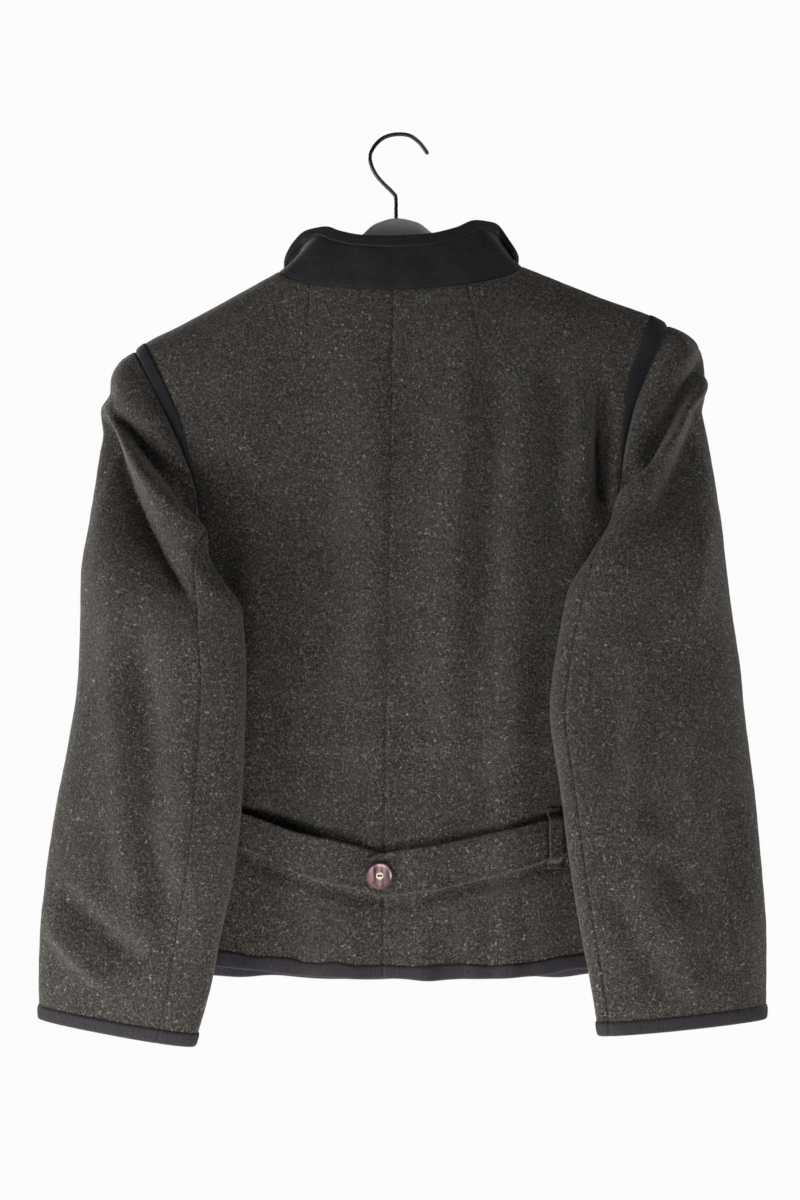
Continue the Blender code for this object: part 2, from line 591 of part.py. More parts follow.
def sleeve(side, share, length):
    """Middle surface of a sleeve: share round the armhole, length 0 to 1 down to the cuff."""
    share, length = np.broadcast_arrays(np.asarray(share, float), np.asarray(length, float))
    turn = np.radians(closed_track(share, "left_turn" if side == LEFT else "right_turn"))
    head = length < HEAD_SHARE
    t = np.clip(length / HEAD_SHARE, 0, 1)
    station = np.clip((length - HEAD_SHARE) / (1 - HEAD_SHARE), 0, 1)
    hang = tube(side, station, turn)
    foot = tube(side, np.zeros(share.shape), turn)
    step = 0.02
    fall = unit(tube(side, np.full(share.shape, step), turn) - foot)
    edge, joint, seam_n, start = armhole_seam(side, share)
    reach = closed_track(share, "reach")[..., None]
    drop_pull = closed_track(share, "fall")[..., None]
    edge = edge + joint * (SEAM_GAP / 2)
    t = t[..., None]
    h00 = (1 + 2 * t) * (1 - t) ** 2
    h10 = t * (1 - t) ** 2
    h01 = t * t * (3 - 2 * t)
    h11 = t * t * (t - 1)
    cap = h00 * edge + h10 * reach * start + h01 * foot + h11 * drop_pull * fall
    p = np.where(head[..., None], cap, hang)
    gap = BODY_CLEAR * np.clip(length / 0.06, 0.0, 1.0)
    behind = 1 - ease((share - 0.50) / 0.06) * (1 - ease((length / HEAD_SHARE - 0.7) / 0.3))
    return keep_clear(side, p, gap, 0.012, behind * ease(length / 0.05))


def sleeve_shape(side, share, length):
    """Sleeve points and outward directions, with the folds pressed into them."""
    a = 0.002
    ahead = sleeve(side, (share + a) % 1.0, length)
    behind = sleeve(side, (share - a) % 1.0, length)
    up = sleeve(side, share, np.clip(length - a, 0, 1))
    down = sleeve(side, share, np.clip(length + a, 0, 1))
    n = unit(np.cross(ahead - behind, down - up)) * side
    p = sleeve(side, share, length)
    seam_n = armhole_seam(side, share)[2]
    blend = ease(np.asarray(length) / 0.05)[..., None]
    n = unit(seam_n * (1 - blend) + n * blend)
    seen = ease((0.30 - n[..., 1]) / 0.75)
    fold = folds_at(SLEEVE_FOLDS, p[..., 0], p[..., 2]) * seen * ease(np.asarray(length) / 0.05)
    return p + n * fold[..., None], n


# ---------------------------------------------------------------- meshes
COLOURS = {
    "loden": ((0.070, 0.066, 0.056), 0.95, 0.0),
    "felt": ((0.012, 0.012, 0.013), 0.95, 0.0),
    "tape": ((0.016, 0.014, 0.018), 0.75, 0.0),
    "horn": ((0.180, 0.100, 0.080), 0.35, 0.0),
    "hanger": ((0.022, 0.022, 0.023), 0.55, 0.0),
    "wire": ((0.160, 0.160, 0.165), 0.35, 0.9)}
parts = bpy.data.objects.new("jacket_on_hanger", None)


def finish(name, verts, faces, colour, soft=True):
    """Make one named object from world points, placed at the middle of its own box."""
    verts = np.asarray(verts, float)
    at = np.round((verts.min(axis=0) + verts.max(axis=0)) / 2, 3)
    mesh = bpy.data.meshes.new(name)
    mesh.from_pydata([tuple(p) for p in verts - at], [], [tuple(int(i) for i in f) for f in faces])
    mesh.validate()
    work = bmesh.new()
    work.from_mesh(mesh)
    bmesh.ops.recalc_face_normals(work, faces=work.faces)
    work.to_mesh(mesh)
    work.free()
    rgb, rough, metal = COLOURS[colour]
    material = bpy.data.materials.new(name + "_" + colour)
    material.use_nodes = True
    shader = material.node_tree.nodes["Principled BSDF"]
    shader.inputs["Base Color"].default_value = (*rgb, 1.0)
    shader.inputs["Roughness"].default_value = rough
    shader.inputs["Metallic"].default_value = metal
    material.diffuse_color = (*rgb, 1.0)
    mesh.materials.append(material)
    thing = bpy.data.objects.new(name, mesh)
    bpy.context.scene.collection.objects.link(thing)
    thing.location = Vector(at)
    thing.parent = parts
    if soft:
        for face in mesh.polygons:
            face.use_smooth = True
        mesh.set_sharp_from_angle(angle=math.radians(50))
    return thing


def wall(name, middle, normal, thickness, colour, closed=False):
    """A cloth wall about a grid of middle points; a closed one joins its columns round."""
    rows, cols = middle.shape[:2]
    out = middle + normal * thickness / 2
    back = middle - normal * thickness / 2
    verts = np.concatenate([out.reshape(-1, 3), back.reshape(-1, 3)])
    half = rows * cols
    spans = cols if closed else cols - 1
    faces = []
    for r in range(rows - 1):
        for c in range(spans):
            d = (c + 1) % cols
            a, b, e, f = r * cols + c, r * cols + d, (r + 1) * cols + d, (r + 1) * cols + c
            for k in ((a, b, e), (a, e, f)):
                faces.append(k)
                faces.append(tuple(half + i for i in reversed(k)))
    for c in range(spans):
        d = (c + 1) % cols
        last = (rows - 1) * cols
        faces.append((d, c, half + c, half + d))
        faces.append((last + c, last + d, half + last + d, half + last + c))
    if not closed:
        for r in range(rows - 1):
            a, b = r * cols, (r + 1) * cols
            faces.append((a, b, half + b, half + a))
            faces.append((b + cols - 1, a + cols - 1, half + a + cols - 1, half + b + cols - 1))
    return finish(name, verts, faces, colour)


def sweep(name, rings, colour, closed=False, split=(), turned=()):
    """A solid through a row of equal rings of points.

    The sides named in split are cut into triangles from their first corner, and those named
    in turned from their second.
    """
    count, size = rings.shape[:2]
    faces = []
    for r in range(count if closed else count - 1):
        q = (r + 1) % count
        for c in range(size):
            d = (c + 1) % size
            face = (r * size + c, r * size + d, q * size + d, q * size + c)
            if c in split:
                faces += [(face[0], face[1], face[2]), (face[0], face[2], face[3])]
            elif c in turned:
                faces += [(face[1], face[2], face[3]), (face[1], face[3], face[0])]
            else:
                faces.append(face)
    if not closed:
        faces.append(tuple(reversed(range(size))))
        faces.append(tuple((count - 1) * size + c for c in range(size)))
    return finish(name, rings.reshape(-1, 3), faces, colour)


def pull_in(grid, rows=(), cols=()):
    """Draw edge rows and columns of a grid back by half a seam gap."""
    grid = grid.copy()
    for r, inner in rows:
        grid[r] = grid[r] + unit(grid[inner] - grid[r]) * SEAM_GAP / 2
    for c, inner in cols:
        grid[:, c] = grid[:, c] + unit(grid[:, inner] - grid[:, c]) * SEAM_GAP / 2
    return grid


# ---------------------------------------------------------------- body panels
LOW_ROWS = 9
EDGE_ROW = TAPE_WIDTH / (0.7235 - UNDERARM_DROP) * UNDERARM_SHARE
low_shares = np.concatenate([[0.0], np.linspace(EDGE_ROW * 1.1, UNDERARM_SHARE, LOW_ROWS)])
ARM_ROW = LOW_ROWS            # the row that starts at the underarm
# how far up the armhole each upper row of a back ends
BACK_STEPS = (0.065, 0.13, 0.195, 0.26, 0.325, 0.39, 0.52, 0.65, 0.78, 0.88, 0.955, 1.0)
BACK_COLS = (0.0, 0.09, 0.18, 0.27, 0.36, NECK_SHARE, 0.56, 0.67, 0.78, 0.89, 1.0)
FRONT_COLS = (0.0, 0.11, 0.22, 0.33, 0.44, 0.55, 0.66, 0.77, 0.89, 1.0)
NECK_COL = 5                  # the column of a back that ends at the neck point


def centre_share(side):
    """Share of a front's neckline at which it crosses the centre front."""
    turn = math.asin(FRONT_LAP / (neck_x(side) + side * 0.0042)) / (math.pi / 2)
    return turn / (1 + turn)


def steps_of(side, face):
    """How far up the armhole each upper row ends: a front has a row at its centre front."""
    if face == BACK:
        return np.array(BACK_STEPS)
    centre = FRONT_CORNER + (1 - FRONT_CORNER) * centre_share(side)
    return np.array([0.13, 0.26, 0.39, FRONT_CORNER, centre, 0.71, 0.81, 0.90, 0.96, 1.0])


CENTRE_ROW = ARM_ROW + 5      # the row of a front that ends at the centre front of the neckline
grids = {}
for side in (LEFT, RIGHT):
    for face, cols in ((BACK, BACK_COLS), (FRONT, FRONT_COLS)):
        rows = np.concatenate(
            [low_shares, UNDERARM_SHARE + (1 - UNDERARM_SHARE) * steps_of(side, face)])
        p, n = panel(side, face, np.array(cols)[None, :], rows[:, None])
        grids[side, face] = (p, n, rows)

# ---------------------------------------------------------------- collar
# stations run from the left centre front round the back to the right centre front
base, base_n, top_edge, owner, stations = [], [], [], [], []
for side in (LEFT, RIGHT):
    ring = []
    p, n, rows = grids[side, BACK]
    for k in range(NECK_COL + 1):
        ring.append((BACK_COLS[k] / NECK_SHARE, p[-1, k], n[-1, k], (side, BACK, k)))
    p, n, rows = grids[side, FRONT]
    for r in range(CENTRE_ROW, len(rows) - 1):
        along = ((rows[r] - UNDERARM_SHARE) / (1 - UNDERARM_SHARE) - FRONT_CORNER) / (1 - FRONT_CORNER)
        station = 2 - (along - centre_share(side)) / (1 - centre_share(side))
        ring.append((station, p[r, 0], n[r, 0], (side, FRONT, r)))
    ring.sort(key=lambda item: item[0])
    ring = ring if side == RIGHT else ring[:0:-1]
    for station, point, normal, key in ring:
        base.append(point)
        base_n.append(normal)
        top_edge.append(collar_top(side, station))
        owner.append(key)
        stations.append(station)
base, base_n, top_edge = np.array(base), np.array(base_n), np.array(top_edge)
path = np.gradient(base, axis=0)
run = unit(path)
up = unit(np.cross(base_n, run))
joint = unit(up + unit(top_edge - base))
neck_n = unit(np.cross(run, joint))
neck_seam = {key: (joint[i], neck_n[i]) for i, key in enumerate(owner)}
for side in (LEFT, RIGHT):
    neck_seam[side, FRONT, len(grids[side, FRONT][2]) - 1] = neck_seam[side, BACK, NECK_COL]
neck_seam[LEFT, BACK, 0] = neck_seam[RIGHT, BACK, 0]

collar_base = base + joint * SEAM_GAP
away = np.array([1.0, 0.0, 0.0]) * COLLAR_SPLIT
collar_base[0] -= away
collar_base[-1] += away
top_edge[0] -= away
top_edge[-1] += away
COLLAR_ROWS = 5
tall = np.linalg.norm(top_edge - collar_base, axis=-1)[None, :, None]
tape_row = 1 - TAPE_WIDTH / tall
collar_heights = np.concatenate(
    [tape_row * np.linspace(0, 1, COLLAR_ROWS)[:, None, None], np.ones_like(tall)])
collar = collar_base + (top_edge - collar_base) * collar_heights
across = unit(np.cross(np.gradient(collar, axis=1), np.gradient(collar, axis=0)))
belly = 4 * collar_heights * (1 - collar_heights)
pinch = np.exp(-((np.array(stations)[None, :, None] - PINCH_AT) / PINCH_WIDTH) ** 2)
collar = collar + across * belly * (COLLAR_BULGE - PINCH_DEPTH * pinch)
collar_n = unit(np.cross(np.gradient(collar, axis=1), np.gradient(collar, axis=0)))
collar_n[:, 1:-1] = unit(collar_n[:, :-2] + 2 * collar_n[:, 1:-1] + collar_n[:, 2:])
collar_n[0] = neck_n
wall("collar", collar, collar_n, CLOTH, "felt")

# ---------------------------------------------------------------- walls of the body
walls = {}
for side, word in ((LEFT, "left"), (RIGHT, "right")):
    for face, prefix in ((BACK, "back"), (FRONT, "front")):
        p, n, rows = grids[side, face]
        rise = (rows[ARM_ROW:] - UNDERARM_SHARE) / (1 - UNDERARM_SHARE)
        share = (1 - rise) * 0.5 if face == BACK else 0.5 + rise * 0.5
        edge, seam_way, seam_n, start = armhole_seam(side, share % 1.0)
        q, m = p.copy(), n.copy()
        half_gap = SEAM_GAP / 2
        q[:ARM_ROW, -1] += unit(p[:ARM_ROW, -2] - p[:ARM_ROW, -1]) * half_gap
        if face == BACK:
            q[:, 0] += unit(p[:, 1] - p[:, 0]) * half_gap
            q[-1, NECK_COL:] += unit(p[-2, NECK_COL:] - p[-1, NECK_COL:]) * half_gap
            for k in range(NECK_COL + 1):
                way, normal = neck_seam[side, BACK, k]
                q[-1, k] -= way * half_gap
                m[-1, k] = normal
        else:
            q[-1] += unit(p[-2] - p[-1]) * half_gap
            for r in range(CENTRE_ROW, len(rows)):
                way, normal = neck_seam[side, FRONT, r]
                q[r, 0] -= way * half_gap
                m[r, 0] = normal
        q[ARM_ROW:, -1] = edge - seam_way * half_gap
        q[ARM_ROW, -1] += unit(p[ARM_ROW, -2] - p[ARM_ROW, -1]) * half_gap
        q[-1, -1] += (unit(p[-1, -2] - p[-1, -1]) + unit(p[-2, -1] - p[-1, -1])) * half_gap
        m[ARM_ROW:, -1] = seam_n
        walls[side, face] = (q, m)
        wall(f"{prefix}_{word}", q, m, CLOTH, "loden")

# ---------------------------------------------------------------- sleeves
HEAD_ROWS = 9
TUBE_ROWS = 9
lengths = np.concatenate([HEAD_SHARE * np.linspace(0, 1, HEAD_ROWS + 1) ** 1.15,
                          HEAD_SHARE + (1 - HEAD_SHARE) * np.linspace(0, 1, TUBE_ROWS + 1)[1:]])
for side, word in ((LEFT, "left"), (RIGHT, "right")):
    back_shares = 0.5 - 0.5 * np.concatenate([[0.0], steps_of(side, BACK)])
    front_shares = 0.5 + 0.5 * np.concatenate([[0.0], steps_of(side, FRONT)])
    around = np.unique(np.round(np.concatenate([back_shares, front_shares]), 6))
    front_seam = around[np.argmin(np.abs(around - FRONT_SEAM_SHARE))]
    upper = np.concatenate([around[(around >= front_seam) & (around < 1)],
                            around[around <= BACK_SEAM_SHARE]])
    under = around[(around >= BACK_SEAM_SHARE) & (around <= front_seam)]
    for name, share in ((f"sleeve_{word}_upper", upper), (f"sleeve_{word}_under", under)):
        sh, le = np.broadcast_arrays(share[None, :], lengths[:, None])
        p, n = sleeve_shape(side, sh, le)
        grids[name] = (p, n)
        wall(name, pull_in(p, cols=[(0, 1), (-1, -2)]), n, CLOTH, "loden")


# ---------------------------------------------------------------- tapes folded over edges
def folded_tape(name, edge, edge_n, deep, deep_n, first=False, closed=False):
    """A strip folded over a cloth edge; deep is the cloth's middle where the strip stops.

    Its long faces are cut into triangles along the same diagonals as the cloth they cover:
    first tells that the edge is the cloth's first row and not its last.
    """
    into = unit(deep - edge)
    near = CLOTH / 2 + TAPE_GAP
    far = near + TAPE
    rings = np.stack([
        deep + deep_n * far, edge + edge_n * far - into * (FOLD_GAP + TAPE),
        edge - edge_n * far - into * (FOLD_GAP + TAPE), deep - deep_n * far,
        deep - deep_n * near, edge - edge_n * near - into * FOLD_GAP,
        edge + edge_n * near - into * FOLD_GAP, deep + deep_n * near], axis=1)
    faces_down, faces_up = (0, 4), (2, 6)
    split, turned = (faces_up, faces_down) if first else (faces_down, faces_up)
    return sweep(name, rings, "tape", closed, split, turned)


def set_back(edge, edge_n, inner, inner_n, distance):
    """Points, and directions, at a distance from an edge on the straight lines to the next row."""
    share = distance / np.linalg.norm(inner - edge, axis=-1, keepdims=True)
    return edge + (inner - edge) * share, edge_n + (inner_n - edge_n) * share


edge, edge_n, inner, inner_n = [], [], [], []
for side, face, order in ((LEFT, FRONT, 1), (LEFT, BACK, -1), (RIGHT, BACK, 1), (RIGHT, FRONT, -1)):
    p, n, rows = grids[side, face]
    pick = list(range(p.shape[1]))[::order]
    if (side, face) != (LEFT, FRONT):
        pick = pick[1:]
    for k in pick:
        edge.append(p[0, k])
        edge_n.append(n[0, k])
        inner.append(p[1, k])
        inner_n.append(n[1, k])
edge, edge_n, inner, inner_n = (np.array(a) for a in (edge, edge_n, inner, inner_n))
folded_tape("hem_binding", edge, edge_n, *set_back(edge, edge_n, inner, inner_n, TAPE_WIDTH), True)
folded_tape("collar_binding", collar[-1], collar_n[-1], collar[-2], collar_n[-2])
for side, word in ((LEFT, "left"), (RIGHT, "right")):
    upper_p, upper_n = grids[f"sleeve_{word}_upper"]
    under_p, under_n = grids[f"sleeve_{word}_under"]
    ring = np.concatenate([upper_p, under_p[:, 1:-1]], axis=1)
    ring_n = np.concatenate([upper_n, under_n[:, 1:-1]], axis=1)
    folded_tape(f"cuff_binding_{word}", ring[-1], ring_n[-1],
                *set_back(ring[-1], ring_n[-1], ring[-2], ring_n[-2], TAPE_WIDTH), closed=True)

# ---------------------------------------------------------------- armhole strips
STRIP_LOW = 0.38          # the strips start this far up the armhole
for side, word in ((LEFT, "left"), (RIGHT, "right")):
    rings = []
    for face, order in ((BACK, 1), (FRONT, -1)):
        q, m = walls[side, face]
        rise = (grids[side, face][2] - UNDERARM_SHARE) / (1 - UNDERARM_SHARE)
        pick = [r for r in range(len(rise)) if rise[r] > STRIP_LOW][::order]
        for r in pick:
            width = float(track(1 - rise[r], STRIP["share"], STRIP[word]))
            low = CLOTH / 2 + LAY_GAP
            far = set_back(q[r, -1], m[r, -1], q[r, -2], m[r, -2], STRIP_INSET + width)
            near = set_back(q[r, -1], m[r, -1], q[r, -2], m[r, -2], STRIP_INSET)
            rings.append([far[0] + far[1] * low, far[0] + far[1] * (low + STRIP_WALL),
                          near[0] + near[1] * (low + STRIP_WALL), near[0] + near[1] * low])
    sweep(f"armhole_trim_{word}", np.array(rings), "felt")


# ---------------------------------------------------------------- half belt and loops
def on_panel(side, face, x, drop):
    """Point and outward direction on a panel's own facets at x, drop."""
    p, n, rows = grids[side, face]
    line, line_n = [], []
    for k in range(p.shape[1]):
        heights = -p[:, k, 2]
        order = np.argsort(heights)
        line.append([np.interp(drop, heights[order], p[order, k, i]) for i in range(3)])
        line_n.append([np.interp(drop, heights[order], n[order, k, i]) for i in range(3)])
    line, line_n = np.array(line), np.array(line_n)
    order = np.argsort(line[:, 0])
    point = np.array([np.interp(x, line[order, 0], line[order, i]) for i in range(3)])
    normal = np.array([np.interp(x, line[order, 0], line_n[order, i]) for i in range(3)])
    return point, unit(normal)


def on_back(x, drop):
    """Point and outward direction on whichever back panel is at x, drop."""
    return on_panel(RIGHT if x >= float(level("seam", drop)) else LEFT, BACK, x, drop)


def column_xs(low, high):
    """x of the back panels' columns at belt height, between two limits."""
    found = []
    for side in (LEFT, RIGHT):
        p = grids[side, BACK][0]
        row = int(np.argmin(np.abs(-p[:, 0, 2] - BELT_BUTTON[1])))
        found += [float(v) for v in p[row, :, 0]]
    return [v for v in sorted(set(found)) if low + 0.004 < v < high - 0.004]


BELT_GAP = 0.0010         # gap between the back panel and the belt over its faceted form
belt_low = CLOTH / 2 + BELT_GAP + BELT_WALL / 2
belt_high = belt_low + BELT_WALL + 0.0006


def belt(name, xs, lifts, heights):
    """A belt piece through stations across the back: height shares it about its middle."""
    middle, normal = [], []
    for x, lift, tall in zip(xs, lifts, heights):
        top = float(track(x, BELT["x"], BELT["top"]))
        bottom = float(track(x, BELT["x"], BELT["bottom"]))
        centre, half = (top + bottom) / 2, (bottom - top) / 2 * tall
        column = [on_back(x, centre - half + 2 * half * s) for s in (0.0, 0.5, 1.0)]
        middle.append([point + direction * lift for point, direction in column])
        normal.append([direction for point, direction in column])
    wall(name, np.array(middle), np.array(normal), BELT_WALL, "loden")


xs = [-BELT_END_X] + column_xs(-BELT_END_X, BELT_UNDER_X) + [BELT_UNDER_X]
belt("belt_left", xs, [belt_low] * len(xs), [1.0] * len(xs))
TIP_REACH = 0.0160        # length of the rounded tip
tip_steps = [0.0, 0.1, 0.3, 0.6, 1.0]
xs = [BELT_TIP_X + TIP_REACH * s for s in tip_steps]
talls = [math.sqrt(1 - (1 - s) ** 2) * 0.86 + 0.14 for s in tip_steps]
rest = [0.0, BELT_UNDER_X + 0.003, BELT_UNDER_X + 0.03]
rest += column_xs(BELT_UNDER_X + 0.034, BELT_END_X) + [BELT_END_X]
xs += rest
talls += [1.0] * len(rest)
lifts = [belt_low + (belt_high - belt_low) * (1 - min(max((x - BELT_UNDER_X - 0.003) / 0.027, 0), 1))
         for x in xs]
belt("belt_right", xs, lifts, talls)

LOOP_WALL = 0.0012
LOOP_FOOT = 0.0060
for x, word in zip(LOOP_X, ("left", "right")):
    top = float(track(x, BELT["x"], BELT["top"]))
    bottom = float(track(x, BELT["x"], BELT["bottom"]))
    foot = CLOTH / 2 + BELT_GAP + LOOP_WALL / 2
    over = belt_low + BELT_WALL / 2 + 0.0008 + LOOP_WALL / 2
    steps = [(top - 0.0035 - LOOP_FOOT, foot), (top - 0.0035, foot), (top - 0.0012, over),
             ((top + bottom) / 2, over), (bottom + 0.0012, over), (bottom + 0.0035, foot),
             (bottom + 0.0035 + LOOP_FOOT, foot)]
    middle, normal = [], []
    for drop, lift in steps:
        pair = [on_back(x + s * LOOP_WIDTH / 2, drop) for s in (-1, 1)]
        middle.append([point + direction * lift for point, direction in pair])
        normal.append([direction for point, direction in pair])
    middle, normal = np.array(middle), np.array(normal)
    slope = unit(np.gradient(middle, axis=0))
    normal = unit(normal - slope * np.sum(normal * slope, axis=-1, keepdims=True))
    wall(f"belt_loop_{word}", middle, normal, LOOP_WALL, "loden")


# ---------------------------------------------------------------- buttons
BUTTON_SIDES = 20
HOLE_RADIUS = 0.0011
HOLE_APART = 0.0042
RIM = table("radius height", [
    (0.00, 0.0), (0.78, 0.0), (0.97, 0.25), (1.00, 0.55), (0.93, 0.95), (0.84, 1.0), (0.68, 0.72),
    (0.00, 0.66)])


def button(name, point, direction):
    """A two-hole button seated on a point of cloth, its back towards the cloth."""
    rings = []
    for radius, height in zip(RIM["radius"][1:-1], RIM["height"][1:-1]):
        turns = [2 * math.pi * k / BUTTON_SIDES for k in range(BUTTON_SIDES)]
        rings.append([(radius * BUTTON_RADIUS * math.cos(t), radius * BUTTON_RADIUS * math.sin(t),
                       height * BUTTON_THICK) for t in turns])
    thing = sweep(name, np.array(rings), "horn")
    spot = Vector(thing.location)
    for vertex in thing.data.vertices:
        vertex.co = vertex.co + spot
    cutter_mesh = bpy.data.meshes.new(name + "_holes")
    work = bmesh.new()
    for sign in (-1, 1):
        bmesh.ops.create_cone(
            work, cap_ends=True, segments=12, radius1=HOLE_RADIUS, radius2=HOLE_RADIUS,
            depth=BUTTON_THICK * 3,
            matrix=Matrix.Translation((sign * HOLE_APART / 2, 0, BUTTON_THICK / 2)))
    work.to_mesh(cutter_mesh)
    work.free()
    cutter = bpy.data.objects.new(name + "_holes", cutter_mesh)
    bpy.context.scene.collection.objects.link(cutter)
    cutter.parent = thing
    cutter.hide_render = True
    cutter.display_type = "WIRE"
    cut = thing.modifiers.new("holes", "BOOLEAN")
    cut.operation = "DIFFERENCE"
    cut.solver = "EXACT"
    cut.object = cutter
    thing.location = Vector(point + direction * SEAM_GAP)
    thing.rotation_euler = Vector(direction).to_track_quat("Z", "Y").to_euler()


def seat(side, face, x, drop):
    """A point over the cloth on which a button clears it all round, and the way it faces."""
    point, direction = on_panel(side, face, x, drop)
    turns = [2 * math.pi * k / BUTTON_SIDES for k in range(BUTTON_SIDES)]
    rim = [on_panel(side, face, x + BUTTON_RADIUS * math.cos(t), drop + BUTTON_RADIUS * math.sin(t))[0]
           for t in turns]
    lift = max(0.0, max(float(np.dot(p - point, direction)) for p in rim))
    return point + direction * lift, direction


point, direction = seat(LEFT, BACK, *BELT_BUTTON)
button("belt_button", point + direction * (belt_high + BELT_WALL / 2), direction)

FRONT_BUTTONS = (0.2200, 0.3200, 0.4200, 0.5200, 0.6200)
for k, drop in enumerate(FRONT_BUTTONS, start=1):
    point, direction = seat(RIGHT, FRONT, float(level("seam", drop)), drop)
    button(f"front_button_{k}", point + direction * CLOTH / 2, direction)

# ---------------------------------------------------------------- hanger
HANGER = table(
    "x       top     tall    thick", [
    (-0.2150, 0.1863, 0.0090, 0.0060),
    (-0.2120, 0.1818, 0.0150, 0.0080),
    (-0.1600, 0.1521, 0.0200, 0.0100),
    (-0.1027, 0.1208, 0.0240, 0.0110),
    (-0.0600, 0.0995, 0.0260, 0.0130),
    (-0.0348, 0.0884, 0.0300, 0.0130),
    (-0.0200, 0.0762, 0.0380, 0.0130),
    (-0.0017, 0.0712, 0.0420, 0.0130),
    (0.0165, 0.0747, 0.0380, 0.0130),
    (0.0313, 0.0849, 0.0300, 0.0130),
    (0.0600, 0.0965, 0.0260, 0.0130),
    (0.1070, 0.1166, 0.0240, 0.0110),
    (0.1600, 0.1376, 0.0200, 0.0100),
    (0.2120, 0.1590, 0.0150, 0.0080),
    (0.2150, 0.1634, 0.0090, 0.0060)])
SECTION_SIDES = 12
xs = np.unique(np.concatenate([HANGER["x"], np.linspace(-0.0348, 0.0313, 15)]))
rings = []
for x in xs:
    top, tall, thick = (float(np.interp(x, HANGER["x"], HANGER[k])) for k in ("top", "tall", "thick"))
    ring = []
    for k in range(SECTION_SIDES):
        t = 2 * math.pi * (k + 0.5) / SECTION_SIDES - math.pi / SECTION_SIDES
        c, s = math.cos(t), math.sin(t)
        ring.append((x, thick / 2 * math.copysign(abs(c) ** 0.95, c),
                     -top - tall / 2 + tall / 2 * math.copysign(abs(s) ** 0.95, s)))
    rings.append(ring)
hanger = sweep("hanger_body", np.array(rings), "hanger")

WIRE_RADIUS = 0.00175
WIRE_SIDES = 10
STEM_DEPTH = 0.0150       # how far the hook's stem runs down into the hanger
HOOK = table("x z", [
    (0.0262, -0.0155), (0.0177, -0.0045), (0.0110, 0.0003), (0.0003, 0.0019), (-0.0123, -0.0011),
    (-0.0205, -0.0086), (-0.0243, -0.0170), (-0.0231, -0.0253), (-0.0189, -0.0336),
    (-0.0123, -0.0412), (-0.0056, -0.0478), (-0.0023, -0.0519), (-0.0017, -0.0569),
    (-0.0017, -0.0640), (-0.0017, -0.0712 - STEM_DEPTH)])
path = through(np.stack([HOOK["x"], HOOK["z"]], axis=1), 44)
way = unit(np.gradient(path, axis=0))
rings = []
for (x, z), (dx, dz) in zip(path, way):
    turns = [2 * math.pi * k / WIRE_SIDES for k in range(WIRE_SIDES)]
    rings.append([(x - dz * WIRE_RADIUS * math.cos(t), WIRE_RADIUS * math.sin(t),
                   z + dx * WIRE_RADIUS * math.cos(t)) for t in turns])
sweep("hanger_hook", np.array(rings), "wire")

socket_mesh = bpy.data.meshes.new("stem_socket")
work = bmesh.new()
bmesh.ops.create_cone(
    work, cap_ends=True, segments=16, radius1=WIRE_RADIUS + SEAM_GAP, radius2=WIRE_RADIUS + SEAM_GAP,
    depth=2 * (STEM_DEPTH + SEAM_GAP),
    matrix=Matrix.Translation((HOOK["x"][-1], 0, -HANGER["top"][7])))
work.to_mesh(socket_mesh)
work.free()
socket = bpy.data.objects.new("stem_socket", socket_mesh)
bpy.context.scene.collection.objects.link(socket)
socket.parent = parts
socket.hide_render = True
socket.display_type = "WIRE"
cut = hanger.modifiers.new("socket", "BOOLEAN")
cut.operation = "DIFFERENCE"
cut.solver = "EXACT"
cut.object = socket
bpy.context.scene.collection.objects.link(parts)
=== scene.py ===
"""Looks of a loden jacket on a hanger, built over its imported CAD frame."""
import math

import bmesh
import bpy
import numpy as np
from mathutils import Matrix, Vector


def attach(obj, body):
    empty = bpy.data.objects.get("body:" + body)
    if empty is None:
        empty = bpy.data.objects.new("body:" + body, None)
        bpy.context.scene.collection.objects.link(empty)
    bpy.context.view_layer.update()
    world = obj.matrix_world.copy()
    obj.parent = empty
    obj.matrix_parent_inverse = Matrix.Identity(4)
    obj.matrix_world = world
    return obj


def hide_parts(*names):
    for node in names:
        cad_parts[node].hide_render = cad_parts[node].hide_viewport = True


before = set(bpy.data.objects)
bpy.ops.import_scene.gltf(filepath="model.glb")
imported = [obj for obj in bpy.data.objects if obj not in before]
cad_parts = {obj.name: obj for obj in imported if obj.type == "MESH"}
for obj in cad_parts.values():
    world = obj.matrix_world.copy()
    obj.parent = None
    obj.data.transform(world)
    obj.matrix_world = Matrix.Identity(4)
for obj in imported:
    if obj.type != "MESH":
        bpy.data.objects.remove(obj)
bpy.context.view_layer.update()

# ---------------------------------------------------------------- driving sizes, metres
CLOTH = 0.0020            # wall of the loden and of the collar felt
SEAM_GAP = 0.0003         # gap between two pieces at a seam
TAPE = 0.0010             # wall of the ribbed tape
TAPE_WIDTH = 0.0100       # how far the tape reaches up each face
FRONT_LAP = 0.0200        # each front passes the centre front by this much
FRONT_STEP = 0.0032       # how far each front stands off the middle surface at the lap
LAP_FLAT = 0.0220         # the step is full this near to the centre front
LAP_FADE = 0.0500         # and gone this much further out
UNDERARM_DROP = 0.3970    # height of the underarm, below the hook
UNDERARM_SHARE = 0.55     # share of a panel's rows that lie below the underarm
FRONT_CORNER = 0.58       # a front's neckline starts this share of the way up its armhole rows
TOP_BLEND = 0.60          # rows above this share bend towards the shape of the top edge
NECK_SHARE = 0.45         # share of a panel's top edge that is neckline
BACK_NECK_DROP = 0.1355   # centre back of the neckline
FRONT_NECK_DROP = 0.1900  # centre front of the neckline
NECK_CENTRE_X = -0.0042   # the centre back and the centre front at the neck
NECK_POINT_X = {-1: 0.1027, 1: 0.1070}      # where each shoulder seam meets the collar
NECK_POINT_DROP = {-1: 0.1180, 1: 0.1136}
